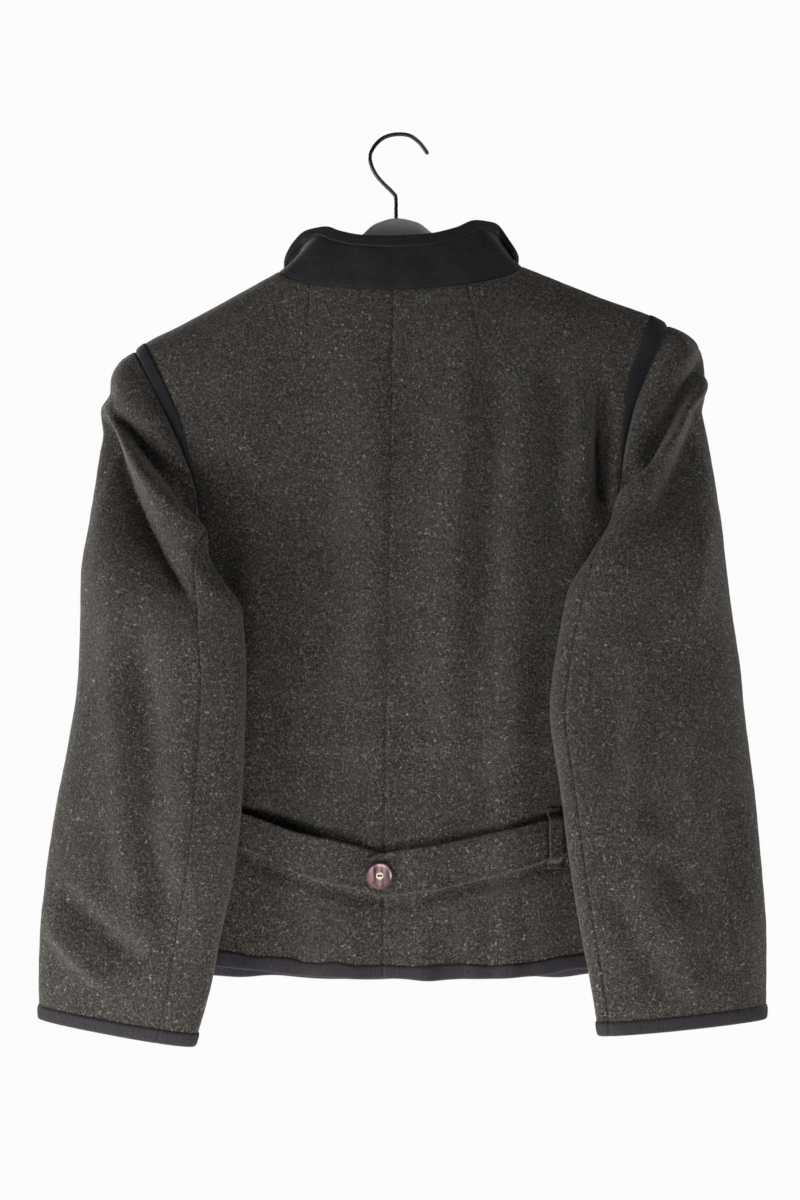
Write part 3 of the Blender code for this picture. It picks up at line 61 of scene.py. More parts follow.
LEFT, RIGHT = -1, 1
BACK, FRONT = 0, 1
WORDS = {LEFT: "left", RIGHT: "right"}


def table(names, rows):
    """Turn a short table into one array for each named column."""
    return {n: np.array([row[i] for row in rows], float) for i, n in enumerate(names.split())}


# "drop" is the height below the hook's inner top, which is the origin.
# One row for each level of the body, from the neck to the hem.
BODY = table(
    "drop   left    right   back    front   round  seam", [
    (0.1136, 0.0948, 0.1070, 0.0325, 0.0325, 2.00, -0.0040),
    (0.1180, 0.1027, 0.1178, 0.0335, 0.0340, 2.00, -0.0042),
    (0.1400, 0.1420, 0.1718, 0.0395, 0.0400, 2.00, -0.0044),
    (0.1650, 0.1867, 0.2332, 0.0445, 0.0460, 2.00, -0.0047),
    (0.1876, 0.2271, 0.2520, 0.0475, 0.0500, 2.05, -0.0050),
    (0.2150, 0.2480, 0.2540, 0.0500, 0.0530, 2.10, -0.0054),
    (0.2600, 0.2480, 0.2500, 0.0520, 0.0550, 2.20, -0.0062),
    (0.3300, 0.2350, 0.2380, 0.0540, 0.0570, 2.30, -0.0077),
    (0.3970, 0.2230, 0.2260, 0.0550, 0.0575, 2.30, -0.0087),
    (0.4800, 0.2150, 0.2170, 0.0545, 0.0570, 2.30, -0.0099),
    (0.5600, 0.2110, 0.2120, 0.0530, 0.0555, 2.30, -0.0110),
    (0.6450, 0.2170, 0.2180, 0.0545, 0.0570, 2.30, -0.0121),
    (0.7450, 0.2270, 0.2290, 0.0580, 0.0600, 2.20, -0.0129)])

# The hem's height by the angle round the body, 0 at the centre back, 180 at the centre front.
HEM = table(
    "angle  drop", [
    (-180, 0.7380), (-135, 0.7320), (-90, 0.7120), (-45, 0.7135), (-22, 0.7190),
    (0, 0.7235), (10, 0.7244), (22, 0.7227), (45, 0.7160), (90, 0.7150), (135, 0.7320), (180, 0.7380)])

# The armhole's edge, from the shoulder tip down to the underarm.
BACK_ARMHOLE = table(
    "left_x  left_drop right_x right_drop", [
    (0.2271, 0.1876, 0.2332, 0.1650),
    (0.2109, 0.2174, 0.2159, 0.2037),
    (0.1953, 0.2509, 0.2045, 0.2310),
    (0.1833, 0.2787, 0.1970, 0.2600),
    (0.1734, 0.3063, 0.1925, 0.2880),
    (0.1700, 0.3300, 0.1905, 0.3180),
    (0.1740, 0.3560, 0.1950, 0.3480),
    (0.1910, 0.3800, 0.2060, 0.3760),
    (0.2230, 0.3970, 0.2260, 0.3970)])
FRONT_ARMHOLE = table(
    "left_x  left_drop right_x right_drop", [
    (0.2271, 0.1876, 0.2332, 0.1650),
    (0.2080, 0.2200, 0.2130, 0.2010),
    (0.1920, 0.2600, 0.1960, 0.2500),
    (0.1840, 0.3050, 0.1880, 0.3050),
    (0.1880, 0.3500, 0.1910, 0.3500),
    (0.2030, 0.3830, 0.2060, 0.3830),
    (0.2230, 0.3970, 0.2260, 0.3970)])


# ---------------------------------------------------------------- curves
def ease(t):
    """Smooth step from 0 to 1."""
    t = np.clip(t, 0.0, 1.0)
    return t * t * (3.0 - 2.0 * t)


def hermite(t, a, leave, b, arrive):
    """Smooth step from a to b, with a slope out of the first and one into the last."""
    return ((1 + 2 * t) * (1 - t) ** 2 * a + t * (1 - t) ** 2 * leave
            + t * t * (3 - 2 * t) * b + t * t * (t - 1) * arrive)


def track(x, xs, ys):
    """Smooth curve through a table's rows that never overshoots them."""
    x = np.clip(np.asarray(x, float), xs[0], xs[-1])
    h = np.diff(xs)
    d = np.diff(ys) / h
    m = np.zeros(len(ys))
    m[0] = d[0]
    m[-1] = d[-1]
    same = d[:-1] * d[1:] > 0
    w1 = 2 * h[1:] + h[:-1]
    w2 = h[1:] + 2 * h[:-1]
    safe0 = np.where(same, d[:-1], 1.0)
    safe1 = np.where(same, d[1:], 1.0)
    m[1:-1] = np.where(same, (w1 + w2) / (w1 / safe0 + w2 / safe1), 0.0)
    i = np.clip(np.searchsorted(xs, x, side="right") - 1, 0, len(xs) - 2)
    t = (x - xs[i]) / h[i]
    return hermite(t, ys[i], h[i] * m[i], ys[i + 1], h[i] * m[i + 1])


def lengths(points):
    """Distance run along a line, at each of its points."""
    return np.concatenate([[0.0], np.cumsum(np.linalg.norm(np.diff(points, axis=0), axis=1))])


def sample(at, run, points):
    """Places at some distances along a line, whose own points lie at the distances in run."""
    return np.stack([np.interp(at, run, points[:, i]) for i in range(3)], axis=-1)


def through(points, count):
    """Points spaced evenly along a smooth curve that passes through the given points."""
    p = np.asarray(points, float)
    knot = lengths(p)
    m = np.gradient(p, knot, axis=0)
    x = np.linspace(0.0, knot[-1], count)
    i = np.clip(np.searchsorted(knot, x, side="right") - 1, 0, len(knot) - 2)
    h = (knot[i + 1] - knot[i])[:, None]
    t = ((x - knot[i]) / h[:, 0])[:, None]
    return hermite(t, p[i], h * m[i], p[i + 1], h * m[i + 1])


def unit(v):
    """Vectors of length 1."""
    v = np.asarray(v, float)
    return v / np.maximum(np.linalg.norm(v, axis=-1, keepdims=True), 1e-12)


def signed_power(value, power):
    """A value with its size raised to a power, as a superellipse needs."""
    return np.sign(value) * np.abs(value) ** power


# ---------------------------------------------------------------- body surface
def level(name, drop):
    """One column of the BODY table at any height."""
    return track(drop, BODY["drop"], BODY[name])


def half_width(side, drop):
    """Half width from the centre seam to one side."""
    seam = level("seam", drop)
    left = level("left", drop) + seam
    right = level("right", drop) - seam
    return np.where(np.asarray(side) > 0, right, left)


FOLD_FADE = 0.3           # a fold is followed this far past its ends, as a share of its length
FADE_OVER = 0.35          # its ends fade over this share


def folds_at(folds, x, z):
    """Sum of the soft ridges and troughs of a fold table at places on the x, z plane.

    A fold runs from x0, drop0 to x1, drop1, bowed by "bow", and fades out past its ends. Where
    it runs down, it is "width" wide on its -X side and "lee" wide on its +X side.
    """
    total = np.zeros(np.shape(x))
    for i in range(len(folds["x0"])):
        x0, z0 = folds["x0"][i], -folds["drop0"][i]
        x1, z1 = folds["x1"][i], -folds["drop1"][i]
        length = math.hypot(x1 - x0, z1 - z0)
        ex, ez = (x1 - x0) / length, (z1 - z0) / length
        along = (x - x0) * ex + (z - z0) * ez
        share = np.clip(along / length, -FOLD_FADE, 1 + FOLD_FADE)
        across = (x - x0) * ez - (z - z0) * ex - folds["bow"][i] * 4 * share * (1 - share)
        width = np.where(across > 0, folds["width"][i], folds["lee"][i])
        fade = ease(share / FADE_OVER + FADE_OVER) * ease((1 - share) / FADE_OVER + FADE_OVER)
        total = total + folds["height"][i] * np.exp(-(across / width) ** 2) * fade
    return total


# Largest upright swells of the back, with the hollows between them.
BACK_FOLDS = table(
    "x0      drop0   x1      drop1   width  lee    bow    height", [
    (0.0620, 0.1750, 0.0430, 0.5400, 0.020, 0.020, 0.003, 0.0098),
    (0.0830, 0.1800, 0.0720, 0.4400, 0.014, 0.014, 0.002, -0.0066),
    (0.1090, 0.2050, 0.0950, 0.5600, 0.022, 0.016, 0.003, 0.0080),
    (0.1400, 0.1950, 0.1330, 0.3600, 0.013, 0.014, 0.002, -0.0066),
    (-0.0880, 0.1500, -0.0700, 0.4500, 0.042, 0.036, 0.002, -0.0080),
    (-0.1750, 0.2900, -0.1150, 0.3700, 0.016, 0.020, 0.004, -0.0040),
    (-0.0660, 0.5700, -0.0560, 0.8500, 0.024, 0.024, 0.001, 0.0054),
    (0.0290, 0.5700, 0.0240, 0.8500, 0.020, 0.021, 0.001, 0.0064),
    (0.1000, 0.5700, 0.1040, 0.8500, 0.021, 0.025, 0.001, 0.0068),
    (-0.0930, 0.3300, -0.0900, 0.5200, 0.013, 0.013, 0.001, 0.0016),
    (-0.0600, 0.3100, -0.0560, 0.5300, 0.014, 0.014, 0.001, -0.0022)])
FRONT_FOLDS = table(
    "x0      drop0   x1      drop1   width  lee    bow    height", [
    (-0.0950, 0.2400, -0.0700, 0.4600, 0.024, 0.024, 0.004, -0.0045),
    (0.1050, 0.2400, 0.0800, 0.4500, 0.024, 0.022, 0.004, -0.0045),
    (0.0950, 0.5000, 0.1090, 0.8500, 0.024, 0.026, 0.003, 0.0045),
    (-0.1000, 0.5200, -0.1160, 0.8500, 0.024, 0.026, 0.003, 0.0040)])


SIDE_CALM = 0.5           # folds fade out where the body turns to its sides, below this cosine


def body_point(angle, drop):
    """Middle surface of the body; angle in radians, 0 at the centre back, + towards +X."""
    angle, drop = np.broadcast_arrays(np.asarray(angle, float), np.asarray(drop, float))
    s = np.sin(angle)
    c = np.cos(angle)
    power = 2.0 / level("round", drop)
    x = level("seam", drop) + half_width(np.where(s >= 0, 1, -1), drop) * signed_power(s, power)
    depth = np.where(c >= 0, level("back", drop), level("front", drop))
    y = -depth * signed_power(c, power)
    z = -drop
    fold = np.where(c >= 0, folds_at(BACK_FOLDS, x, z), folds_at(FRONT_FOLDS, x, z))
    y = y - np.sign(c) * fold * ease(np.abs(c) / SIDE_CALM)
    return np.stack([x, y, z], axis=-1)


def body_normal(angle, drop):
    """Outward direction of the body's surface."""
    turn = 0.004
    fall = 0.0008
    round_way = body_point(angle + turn, drop) - body_point(angle - turn, drop)
    down_way = body_point(angle, drop + fall) - body_point(angle, drop - fall)
    return unit(np.cross(down_way, round_way))


def angle_at(side, face, x, drop):
    """Angle round the body of the point of one face that lies at x, drop."""
    offset = (x - level("seam", drop)) * side
    reach = half_width(np.where(offset >= 0, side, -side), drop)
    share = np.clip(np.abs(offset) / reach, 0.0, 1.0)
    a = np.sign(offset) * np.arcsin(share ** (level("round", drop) / 2.0))
    return side * a if face == BACK else np.pi - side * a


def back_y(x, z):
    """Depth of the back's middle surface at places on the x, z plane, 0 past its sides."""
    drop = -z
    offset = x - level("seam", drop)
    side = np.where(offset >= 0, 1, -1)
    share = np.clip(np.abs(offset) / half_width(side, drop), 0.0, 1.0)
    c = (1.0 - share ** level("round", drop)) ** (1.0 / level("round", drop))
    return -level("back", drop) * c - folds_at(BACK_FOLDS, x, z) * ease(c / SIDE_CALM)


# ---------------------------------------------------------------- panels
def tip(side):
    """The shoulder tip: distance from x = 0, and height."""
    return BACK_ARMHOLE[WORDS[side] + "_x"][0], BACK_ARMHOLE[WORDS[side] + "_drop"][0]


def armhole_edge(side, face, share):
    """Distance from x = 0 and height along one half of an armhole, 0 at the tip, 1 underarm."""
    rows = BACK_ARMHOLE if face == BACK else FRONT_ARMHOLE
    word = WORDS[side]
    dense = through(np.stack([rows[word + "_x"], rows[word + "_drop"]], axis=1), 241)
    angle = angle_at(side, face, side * dense[:, 0], dense[:, 1])
    run = lengths(body_point(angle, dense[:, 1]))
    x = np.interp(share, run / run[-1], dense[:, 0])
    drop = np.interp(share, run / run[-1], dense[:, 1])
    return x, drop


def lap_turn(side):
    """How far a front's neckline runs past the centre front, as a share of a quarter turn."""
    return math.asin(FRONT_LAP / (NECK_POINT_X[side] - side * NECK_CENTRE_X)) / (np.pi / 2)


def neckline(side, face, share):
    """x and height along one half of the neckline, 0 at the centre, 1 at the neck point."""
    middle = side * NECK_CENTRE_X
    start = -lap_turn(side) if face == FRONT else 0.0
    t = (start + (1 - start) * np.asarray(share, float)) * np.pi / 2
    x = middle + (NECK_POINT_X[side] - middle) * np.sin(t)
    low = BACK_NECK_DROP if face == BACK else FRONT_NECK_DROP
    drop = NECK_POINT_DROP[side] + (low - NECK_POINT_DROP[side]) * np.cos(t)
    return x, drop


def hem_drop(angle):
    """Height of the hem by the angle round the body."""
    turn = np.degrees(np.arctan2(np.sin(angle), np.cos(angle)))
    return track(turn, HEM["angle"], HEM["drop"])


LEAST_SPREAD = 0.001      # where a row is narrower than this, its points are spaced evenly
HEM_SHARE = 0.3           # share of a panel's rows that bend to the hem's curve


def panel_plan(side, face, u, v):
    """Angle and height of a panel's points: u from the centre to the side, v from hem to top.

    A back's top edge is its neckline and shoulder seam. A front's neckline is the upper part
    of its inner edge, because it is deep.
    """
    u, v = np.broadcast_arrays(np.asarray(u, float), np.asarray(v, float))
    low = v < UNDERARM_SHARE
    climb = np.clip(v / UNDERARM_SHARE, 0, 1)
    rise = np.clip((v - UNDERARM_SHARE) / (1 - UNDERARM_SHARE), 0, 1)
    lap = 0.0 if face == BACK else FRONT_LAP
    centre_hem = hem_drop(0.0 if face == BACK else np.pi)
    side_hem = hem_drop(side * np.pi / 2)
    # the inner edge: centre back, or front edge and then neckline
    top = BACK_NECK_DROP if face == BACK else FRONT_NECK_DROP
    corner = 1.0 if face == BACK else FRONT_CORNER
    centre_drop = np.where(low, centre_hem + (UNDERARM_DROP - centre_hem) * climb,
                           UNDERARM_DROP + (top - UNDERARM_DROP) * np.clip(rise / corner, 0, 1))
    centre_x = side * level("seam", centre_drop) - lap
    if face == FRONT:
        neck = np.clip((rise - FRONT_CORNER) / (1 - FRONT_CORNER), 0, 1)
        nx, nd = neckline(side, face, neck)
        on_neck = rise > FRONT_CORNER
        centre_x = np.where(on_neck, nx, centre_x)
        centre_drop = np.where(on_neck, nd, centre_drop)
    # the outer edge: side seam and then armhole
    edge_x, edge_drop = armhole_edge(side, face, 1.0 - rise)
    edge_drop = np.where(low, side_hem + (UNDERARM_DROP - side_hem) * climb, edge_drop)
    seam = side * level("seam", edge_drop)
    reach = half_width(side, edge_drop)
    edge_x = np.where(low, seam + reach, edge_x)
    power = 2 / level("round", edge_drop)
    last = np.arcsin(np.clip((edge_x - seam) / reach, 0, 1) ** (1 / power))
    middle_seam = side * level("seam", centre_drop)
    middle_reach = half_width(side, centre_drop)
    middle_power = 2 / level("round", centre_drop)
    first_share = (centre_x - middle_seam) / middle_reach
    first = np.sign(first_share) * np.arcsin(
        np.clip(np.abs(first_share), 0, 1) ** (1 / middle_power))
    angle = first + u * (last - first)
    start_sine = signed_power(np.sin(first), power)
    spread = signed_power(np.sin(last), power) - start_sine
    flow = (signed_power(np.sin(angle), power) - start_sine) / np.maximum(spread, LEAST_SPREAD)
    flow = np.where(spread > LEAST_SPREAD, flow, u)
    # the top edge
    tip_x, tip_drop = tip(side)
    if face == BACK:
        nx, nd = neckline(side, face, np.clip(u / NECK_SHARE, 0, 1))
        along = np.clip((u - NECK_SHARE) / (1 - NECK_SHARE), 0, 1)
        shoulder = NECK_POINT_DROP[side] + (tip_drop - NECK_POINT_DROP[side]) * along
        top_drop = np.where(u < NECK_SHARE, nd, shoulder)
        top_x = np.where(u < NECK_SHARE, nx, level(WORDS[side], top_drop))
        start_x, start_drop = side * NECK_CENTRE_X, BACK_NECK_DROP
    else:
        start_x, start_drop = NECK_POINT_X[side], NECK_POINT_DROP[side]
        top_drop = start_drop + (tip_drop - start_drop) * u
        top_x = level(WORDS[side], top_drop)
    top_flow = (top_x - start_x) / (tip_x - start_x)
    top_bend = top_drop - (start_drop + (tip_drop - start_drop) * u)
    lift = ease((v - TOP_BLEND) / (1 - TOP_BLEND))
    flow = flow + (top_flow - flow) * lift
    x = centre_x + (edge_x - centre_x) * flow
    drop = centre_drop + (edge_drop - centre_drop) * u + top_bend * lift
    turn = side * angle if face == BACK else np.pi - side * angle
    flat = (1 - u) * centre_hem + u * side_hem
    drop = drop + (1 - ease(v / HEM_SHARE)) * (hem_drop(turn) - flat)
    drop_reach = half_width(side, drop)
    below_arm = drop_reach * signed_power(np.sin(angle), 2 / level("round", drop))
    x = np.where(low, side * level("seam", drop) + below_arm, x)
    return angle_at(side, face, side * x, drop), drop


def lap_step(side, face, point):
    """How far a front stands off the middle surface near the lap: the right front is on top."""
    if face == BACK:
        return np.zeros(point.shape[:-1])
    off = np.abs(point[..., 0] - level("seam", -point[..., 2]))
    near = 1 - ease((off - LAP_FLAT) / LAP_FADE)
    return side * FRONT_STEP * near


def panel(side, face, u, v):
    """Middle surface points and outward directions of one body panel."""
    angle, drop = panel_plan(side, face, u, v)
    p = body_point(angle, drop)
    n = body_normal(angle, drop)
    return p + n * lap_step(side, face, p)[..., None], n


# ---------------------------------------------------------------- collar
# The collar's top edge: station 0 at the centre back, 1 at the neck point, 2 at the centre front.
COLLAR = table(
    "station left_x left_y left_drop right_x right_y right_drop", [
    (0.00, 0.0042, -0.0260, 0.0914, -0.0042, -0.0260, 0.0914),
    (0.30, 0.0300, -0.0235, 0.0905, 0.0250, -0.0235, 0.0895),
    (0.60, 0.0510, -0.0165, 0.0860, 0.0510, -0.0165, 0.0830),
    (0.85, 0.0645, -0.0070, 0.0812, 0.0690, -0.0070, 0.0756),
    (1.00, 0.0800, 0.0050, 0.0830, 0.0840, 0.0050, 0.0765),
    (1.20, 0.0930, 0.0200, 0.0945, 0.0965, 0.0200, 0.0895),
    (1.35, 0.0985, 0.0340, 0.1070, 0.1045, 0.0340, 0.1030),
    (1.50, 0.0930, 0.0500, 0.1200, 0.0970, 0.0500, 0.1170),
    (1.65, 0.0670, 0.0630, 0.1360, 0.0700, 0.0640, 0.1340),
    (1.85, 0.0340, 0.0730, 0.1490, 0.0340, 0.0740, 0.1490),
    (2.00, 0.0042, 0.0765, 0.1530, -0.0042, 0.0785, 0.1530)])
COLLAR_BULGE = 0.0020     # how far the collar rounds outward between its edges
PINCH_AT = 1.02           # the side of the neck, where the collar buckles inward
PINCH_WIDTH = 0.14
PINCH_DEPTH = 0.0080


def collar_top(side, station):
    """The collar's top edge at stations from the centre back to the centre front."""
    word = WORDS[side]
    x = side * track(station, COLLAR["station"], COLLAR[word + "_x"])
    y = track(station, COLLAR["station"], COLLAR[word + "_y"])
    return np.stack([x, y, -track(station, COLLAR["station"], COLLAR[word + "_drop"])], axis=-1)


# ---------------------------------------------------------------- sleeves
# One row for each station down the sleeve: the outer and the inner edge, and half the
# thickness between them. y is negative behind the body.
LEFT_SLEEVE = table(
    "outer_x  outer_y  outer_drop inner_x  inner_y  inner_drop half", [
    (-0.2700, -0.034, 0.4000, -0.1330, -0.080, 0.4150, 0.031),
    (-0.2715, -0.035, 0.4650, -0.1295, -0.080, 0.4680, 0.028),
    (-0.2795, -0.038, 0.5250, -0.1312, -0.081, 0.5220, 0.028),
    (-0.2905, -0.042, 0.5800, -0.1340, -0.082, 0.5770, 0.028),
    (-0.2995, -0.045, 0.6350, -0.1400, -0.083, 0.6320, 0.026),
    (-0.3045, -0.047, 0.6850, -0.1500, -0.084, 0.6820, 0.024),
    (-0.3055, -0.048, 0.7250, -0.1590, -0.084, 0.7300, 0.021),
    (-0.3045, -0.048, 0.7580, -0.1720, -0.084, 0.7770, 0.018)])
RIGHT_SLEEVE = table(
    "outer_x  outer_y  outer_drop inner_x  inner_y  inner_drop half", [
    (0.2840, -0.034, 0.3950, 0.1455, -0.080, 0.4000, 0.031),
    (0.2910, -0.035, 0.4560, 0.1340, -0.080, 0.4560, 0.028),
    (0.2945, -0.038, 0.5000, 0.1295, -0.081, 0.4980, 0.028),
    (0.3040, -0.042, 0.5750, 0.1397, -0.082, 0.5720, 0.028),
    (0.3100, -0.045, 0.6350, 0.1480, -0.083, 0.6320, 0.026),
    (0.3136, -0.047, 0.6850, 0.1562, -0.084, 0.6820, 0.024),
    (0.3132, -0.048, 0.7250, 0.1635, -0.084, 0.7230, 0.021),
    (0.3125, -0.048, 0.7580, 0.1700, -0.084, 0.7680, 0.018)])
# How the cloth leaves the armhole, by the share of the way round it: 0 at the tip, then
# down the back to 0.5 at the underarm, and up the front. "turn" is the place on the tube
# below that this part feeds: 0 at its outer edge, 90 at its back, 180 at its inner edge.
SLEEVE_HEAD = table(
    "share  out    back   down   reach  fall   left_turn right_turn", [
    (0.000, 0.90, 0.00, 0.35, 0.130, 0.180, 0, 0),
    (0.100, 0.80, 0.45, 0.40, 0.100, 0.170, 34, 36),
    (0.200, 0.60, 0.75, 0.25, 0.090, 0.150, 80, 84),
    (0.305, 0.15, 0.95, 0.25, 0.075, 0.110, 124, 154),
    (0.360, -0.10, 0.97, 0.20, 0.060, 0.080, 170, 186),
    (0.420, 0.10, 0.97, 0.00, 0.040, 0.050, 224, 226),
    (0.460, 0.60, 0.75, -0.30, 0.042, 0.040, 260, 260),
    (0.500, 0.92, 0.20, -0.35, 0.050, 0.050, 290, 290),
    (0.550, 0.95, -0.10, -0.15, 0.050, 0.060, 302, 302),
    (0.620, 0.95, -0.20, 0.20, 0.055, 0.070, 311, 311),
    (0.750, 0.85, -0.40, 0.30, 0.090, 0.120, 326, 326),
    (0.900, 0.88, -0.25, 0.35, 0.120, 0.170, 346, 346),
    (1.000, 0.90, 0.00, 0.35, 0.130, 0.180, 360, 360)])
HEAD_SHARE = 0.42         # share of a sleeve's length that its head takes
BACK_SEAM_SHARE = 0.305   # where the sleeve's back seam starts on the armhole
FRONT_SEAM_SHARE = 0.630  # where its front seam starts
TUBE_ROUND = 2.3
BODY_CLEAR = 0.0072       # least distance between a sleeve's and the body's middle surfaces

# Folds of the sleeves, as they show from behind. They reach round to the outer edge.
SLEEVE_FOLDS = table(
    "x0      drop0   x1      drop1   width  lee    bow    height", [
    (-0.2580, 0.1980, -0.1620, 0.3080, 0.012, 0.018, 0.002, 0.0050),
    (-0.2680, 0.2225, -0.1350, 0.3590, 0.0075, 0.013, 0.000, -0.0122),
    (-0.2640, 0.2180, -0.1330, 0.3800, 0.0095, 0.0080, 0.0145, 0.0100),
    (-0.2660, 0.2350, -0.1600, 0.4050, 0.013, 0.0055, 0.002, -0.0075),
    (-0.2660, 0.2350, -0.1700, 0.4150, 0.032, 0.0080, 0.002, -0.0160),
    (-0.2600, 0.3500, -0.1640, 0.4700, 0.030, 0.030, 0.000, 0.0075),
    (-0.2420, 0.3950, -0.2170, 0.7050, 0.014, 0.015, 0.003, 0.0050),
    (-0.2200, 0.4000, -0.1920, 0.7000, 0.015, 0.016, 0.003, -0.0085),
    (-0.1860, 0.4500, -0.1700, 0.6500, 0.014, 0.012, 0.002, 0.0030),
    (-0.2950, 0.6800, -0.2432, 0.7285, 0.007, 0.010, 0.002, 0.0060),
    (-0.2920, 0.6460, -0.2120, 0.7080, 0.011, 0.011, 0.002, -0.0075),
    (-0.2080, 0.5700, -0.1780, 0.6400, 0.012, 0.012, 0.002, 0.0035),
    (-0.2500, 0.5900, -0.2330, 0.6600, 0.014, 0.012, 0.002, -0.0040),
    (0.2450, 0.1650, 0.1850, 0.3050, 0.012, 0.012, 0.000, 0.0065),
    (0.2620, 0.1880, 0.1800, 0.3150, 0.013, 0.0050, -0.0115, -0.0150),
    (0.2640, 0.2100, 0.1830, 0.3300, 0.0060, 0.009, -0.0075, 0.0080),
    (0.2680, 0.2250, 0.2150, 0.3350, 0.0090, 0.022, -0.003, -0.0110),
    (0.2200, 0.3050, 0.1650, 0.3780, 0.012, 0.014, -0.003, 0.0045),
    (0.2300, 0.3650, 0.1750, 0.4300, 0.014, 0.016, -0.004, -0.0045),
    (0.2700, 0.3300, 0.2400, 0.4400, 0.016, 0.014, 0.003, 0.0045),
    (0.1900, 0.4600, 0.1760, 0.5500, 0.012, 0.012, 0.002, -0.0045),
    (0.2080, 0.4300, 0.1980, 0.5600, 0.012, 0.012, 0.002, 0.0040),
    (0.2450, 0.4800, 0.2550, 0.5900, 0.014, 0.014, 0.002, 0.0045),
    (0.2150, 0.5600, 0.2350, 0.6600, 0.012, 0.014, 0.002, -0.0050),
    (0.2800, 0.6000, 0.2650, 0.7000, 0.012, 0.014, 0.002, -0.0045),
    (0.2300, 0.6700, 0.2550, 0.7400, 0.012, 0.012, 0.002, 0.0040),
    (0.1790, 0.6470, 0.2260, 0.7370, 0.010, 0.011, 0.002, -0.0055),
    (0.2240, 0.6170, 0.2560, 0.6620, 0.009, 0.010, 0.001, -0.0045),
    (0.2740, 0.5650, 0.2920, 0.6500, 0.011, 0.010, -0.001, -0.0045),
    (0.2010, 0.5920, 0.2250, 0.6100, 0.010, 0.009, 0.001, 0.0036),
    (0.2500, 0.6950, 0.2900, 0.7300, 0.009, 0.010, 0.001, -0.0035)])
# How far the outer edge of each sleeve's head comes in (-) or stands out (+).
HEAD_EDGE = {
    LEFT: table("drop out", [
        (0.190, 0.0015), (0.224, -0.0035), (0.238, 0.0010), (0.247, -0.0015), (0.262, -0.0055),
        (0.275, -0.0050), (0.305, -0.0045), (0.351, -0.0025), (0.397, -0.0010), (0.450, 0.0)]),
    RIGHT: table("drop out", [
        (0.168, 0.004), (0.180, 0.0100), (0.190, 0.0112), (0.205, 0.0080), (0.217, 0.0040),
        (0.230, 0.0005), (0.242, -0.0035), (0.256, -0.0030), (0.300, -0.0035), (0.400, -0.0028),
        (0.470, 0.0)])}
EDGE_REACH = 0.045        # this reaches so far in from the outer edge


def closed_track(share, name):
    """A column of SLEEVE_HEAD at any share of the way round the armhole."""
    return track(share, SLEEVE_HEAD["share"], SLEEVE_HEAD[name])


def armhole(side, share):
    """Edge points and the body's outward direction there."""
    share = np.asarray(share, float)
    behind = share <= 0.5
    bx, bd = armhole_edge(side, BACK, np.clip(share * 2, 0, 1))
    fx, fd = armhole_edge(side, FRONT, np.clip(2 - share * 2, 0, 1))
    x = side * np.where(behind, bx, fx)
    drop = np.where(behind, bd, fd)
    angle = np.where(behind, angle_at(side, BACK, x, drop), angle_at(side, FRONT, x, drop))
    return body_point(angle, drop), body_normal(angle, drop)


def armhole_seam(side, share):
    """Edge points of the armhole, the way from body to sleeve there, the seam's own normal and
    the way in which the sleeve's cloth leaves it."""
    share = np.asarray(share, float)
    step = 0.004
    edge, n = armhole(side, share)
    along = unit(armhole(side, (share + step) % 1.0)[0] - armhole(side, (share - step) % 1.0)[0])
    across = unit(np.cross(along, n))
    into_sleeve = np.array([side * 0.235, 0.0, -0.29]) - edge
    sign = np.sign(np.sum(across * into_sleeve, axis=-1, keepdims=True))
    start = unit(np.stack([side * closed_track(share, "out"), -closed_track(share, "back"),
                           -closed_track(share, "down")], axis=-1))
    joint = unit(start + across * np.where(sign == 0, 1, sign))
    return edge, joint, unit(np.cross(along, joint)) * side, start


def tube(side, station, turn):
    """Points of the hanging tube: station 0 to 1 from below the head to the cuff."""
    rows = LEFT_SLEEVE if side == LEFT else RIGHT_SLEEVE
    knots = np.linspace(0, 1, len(rows["half"]))
    get = {k: track(station, knots, v) for k, v in rows.items()}
    outer = np.stack([get["outer_x"], get["outer_y"], -get["outer_drop"]], axis=-1)
    inner = np.stack([get["inner_x"], get["inner_y"], -get["inner_drop"]], axis=-1)
    centre = (outer + inner) / 2
    half = (outer - inner) / 2
    back = unit(np.stack([half[..., 1] * side, -half[..., 0] * side, 0 * half[..., 0]], axis=-1))
    c = signed_power(np.cos(turn), 2.0 / TUBE_ROUND)
    s = signed_power(np.sin(turn), 2.0 / TUBE_ROUND)
    return centre + half * c[..., None] + back * (get["half"] * s)[..., None]


CLEAR_REACH = 0.0120      # the push fades out this far past the back's armhole edge
CLEAR_SOFT = 0.0040       # it sets in over this depth
CLEAR_SIDE = 0.0060       # at the body's side it fades out over this width
CLEAR_INSIDE = 0.001      # which starts this far inside the side


def keep_clear(side, p, gap, weight):
    """Move points back, away from the body's back panel where it exists."""
    x, z = p[..., 0], p[..., 2]
    drop = -z
    dense_x, dense_drop = armhole_edge(side, BACK, np.linspace(0, 1, 121))
    edge = np.where(drop > UNDERARM_DROP, 1.0, np.interp(drop, dense_drop, dense_x))
    beside = np.where(drop > UNDERARM_DROP - CLEAR_REACH, 1.0,
                      1 - ease((np.abs(x) - edge) / CLEAR_REACH))
    over = p[..., 1] - (back_y(x, z) - gap)
    push = np.where(over < -CLEAR_SOFT, 0.0, (over + CLEAR_SOFT) ** 2 / (4 * CLEAR_SOFT))
    push = np.where(over > CLEAR_SOFT, over, push)
    width = half_width(side, drop)
    inside = 1 - ease((np.abs(x - level("seam", drop)) - width + CLEAR_INSIDE) / CLEAR_SIDE)
    q = p.copy()
    q[..., 1] = q[..., 1] - push * beside * inside * weight
    return q


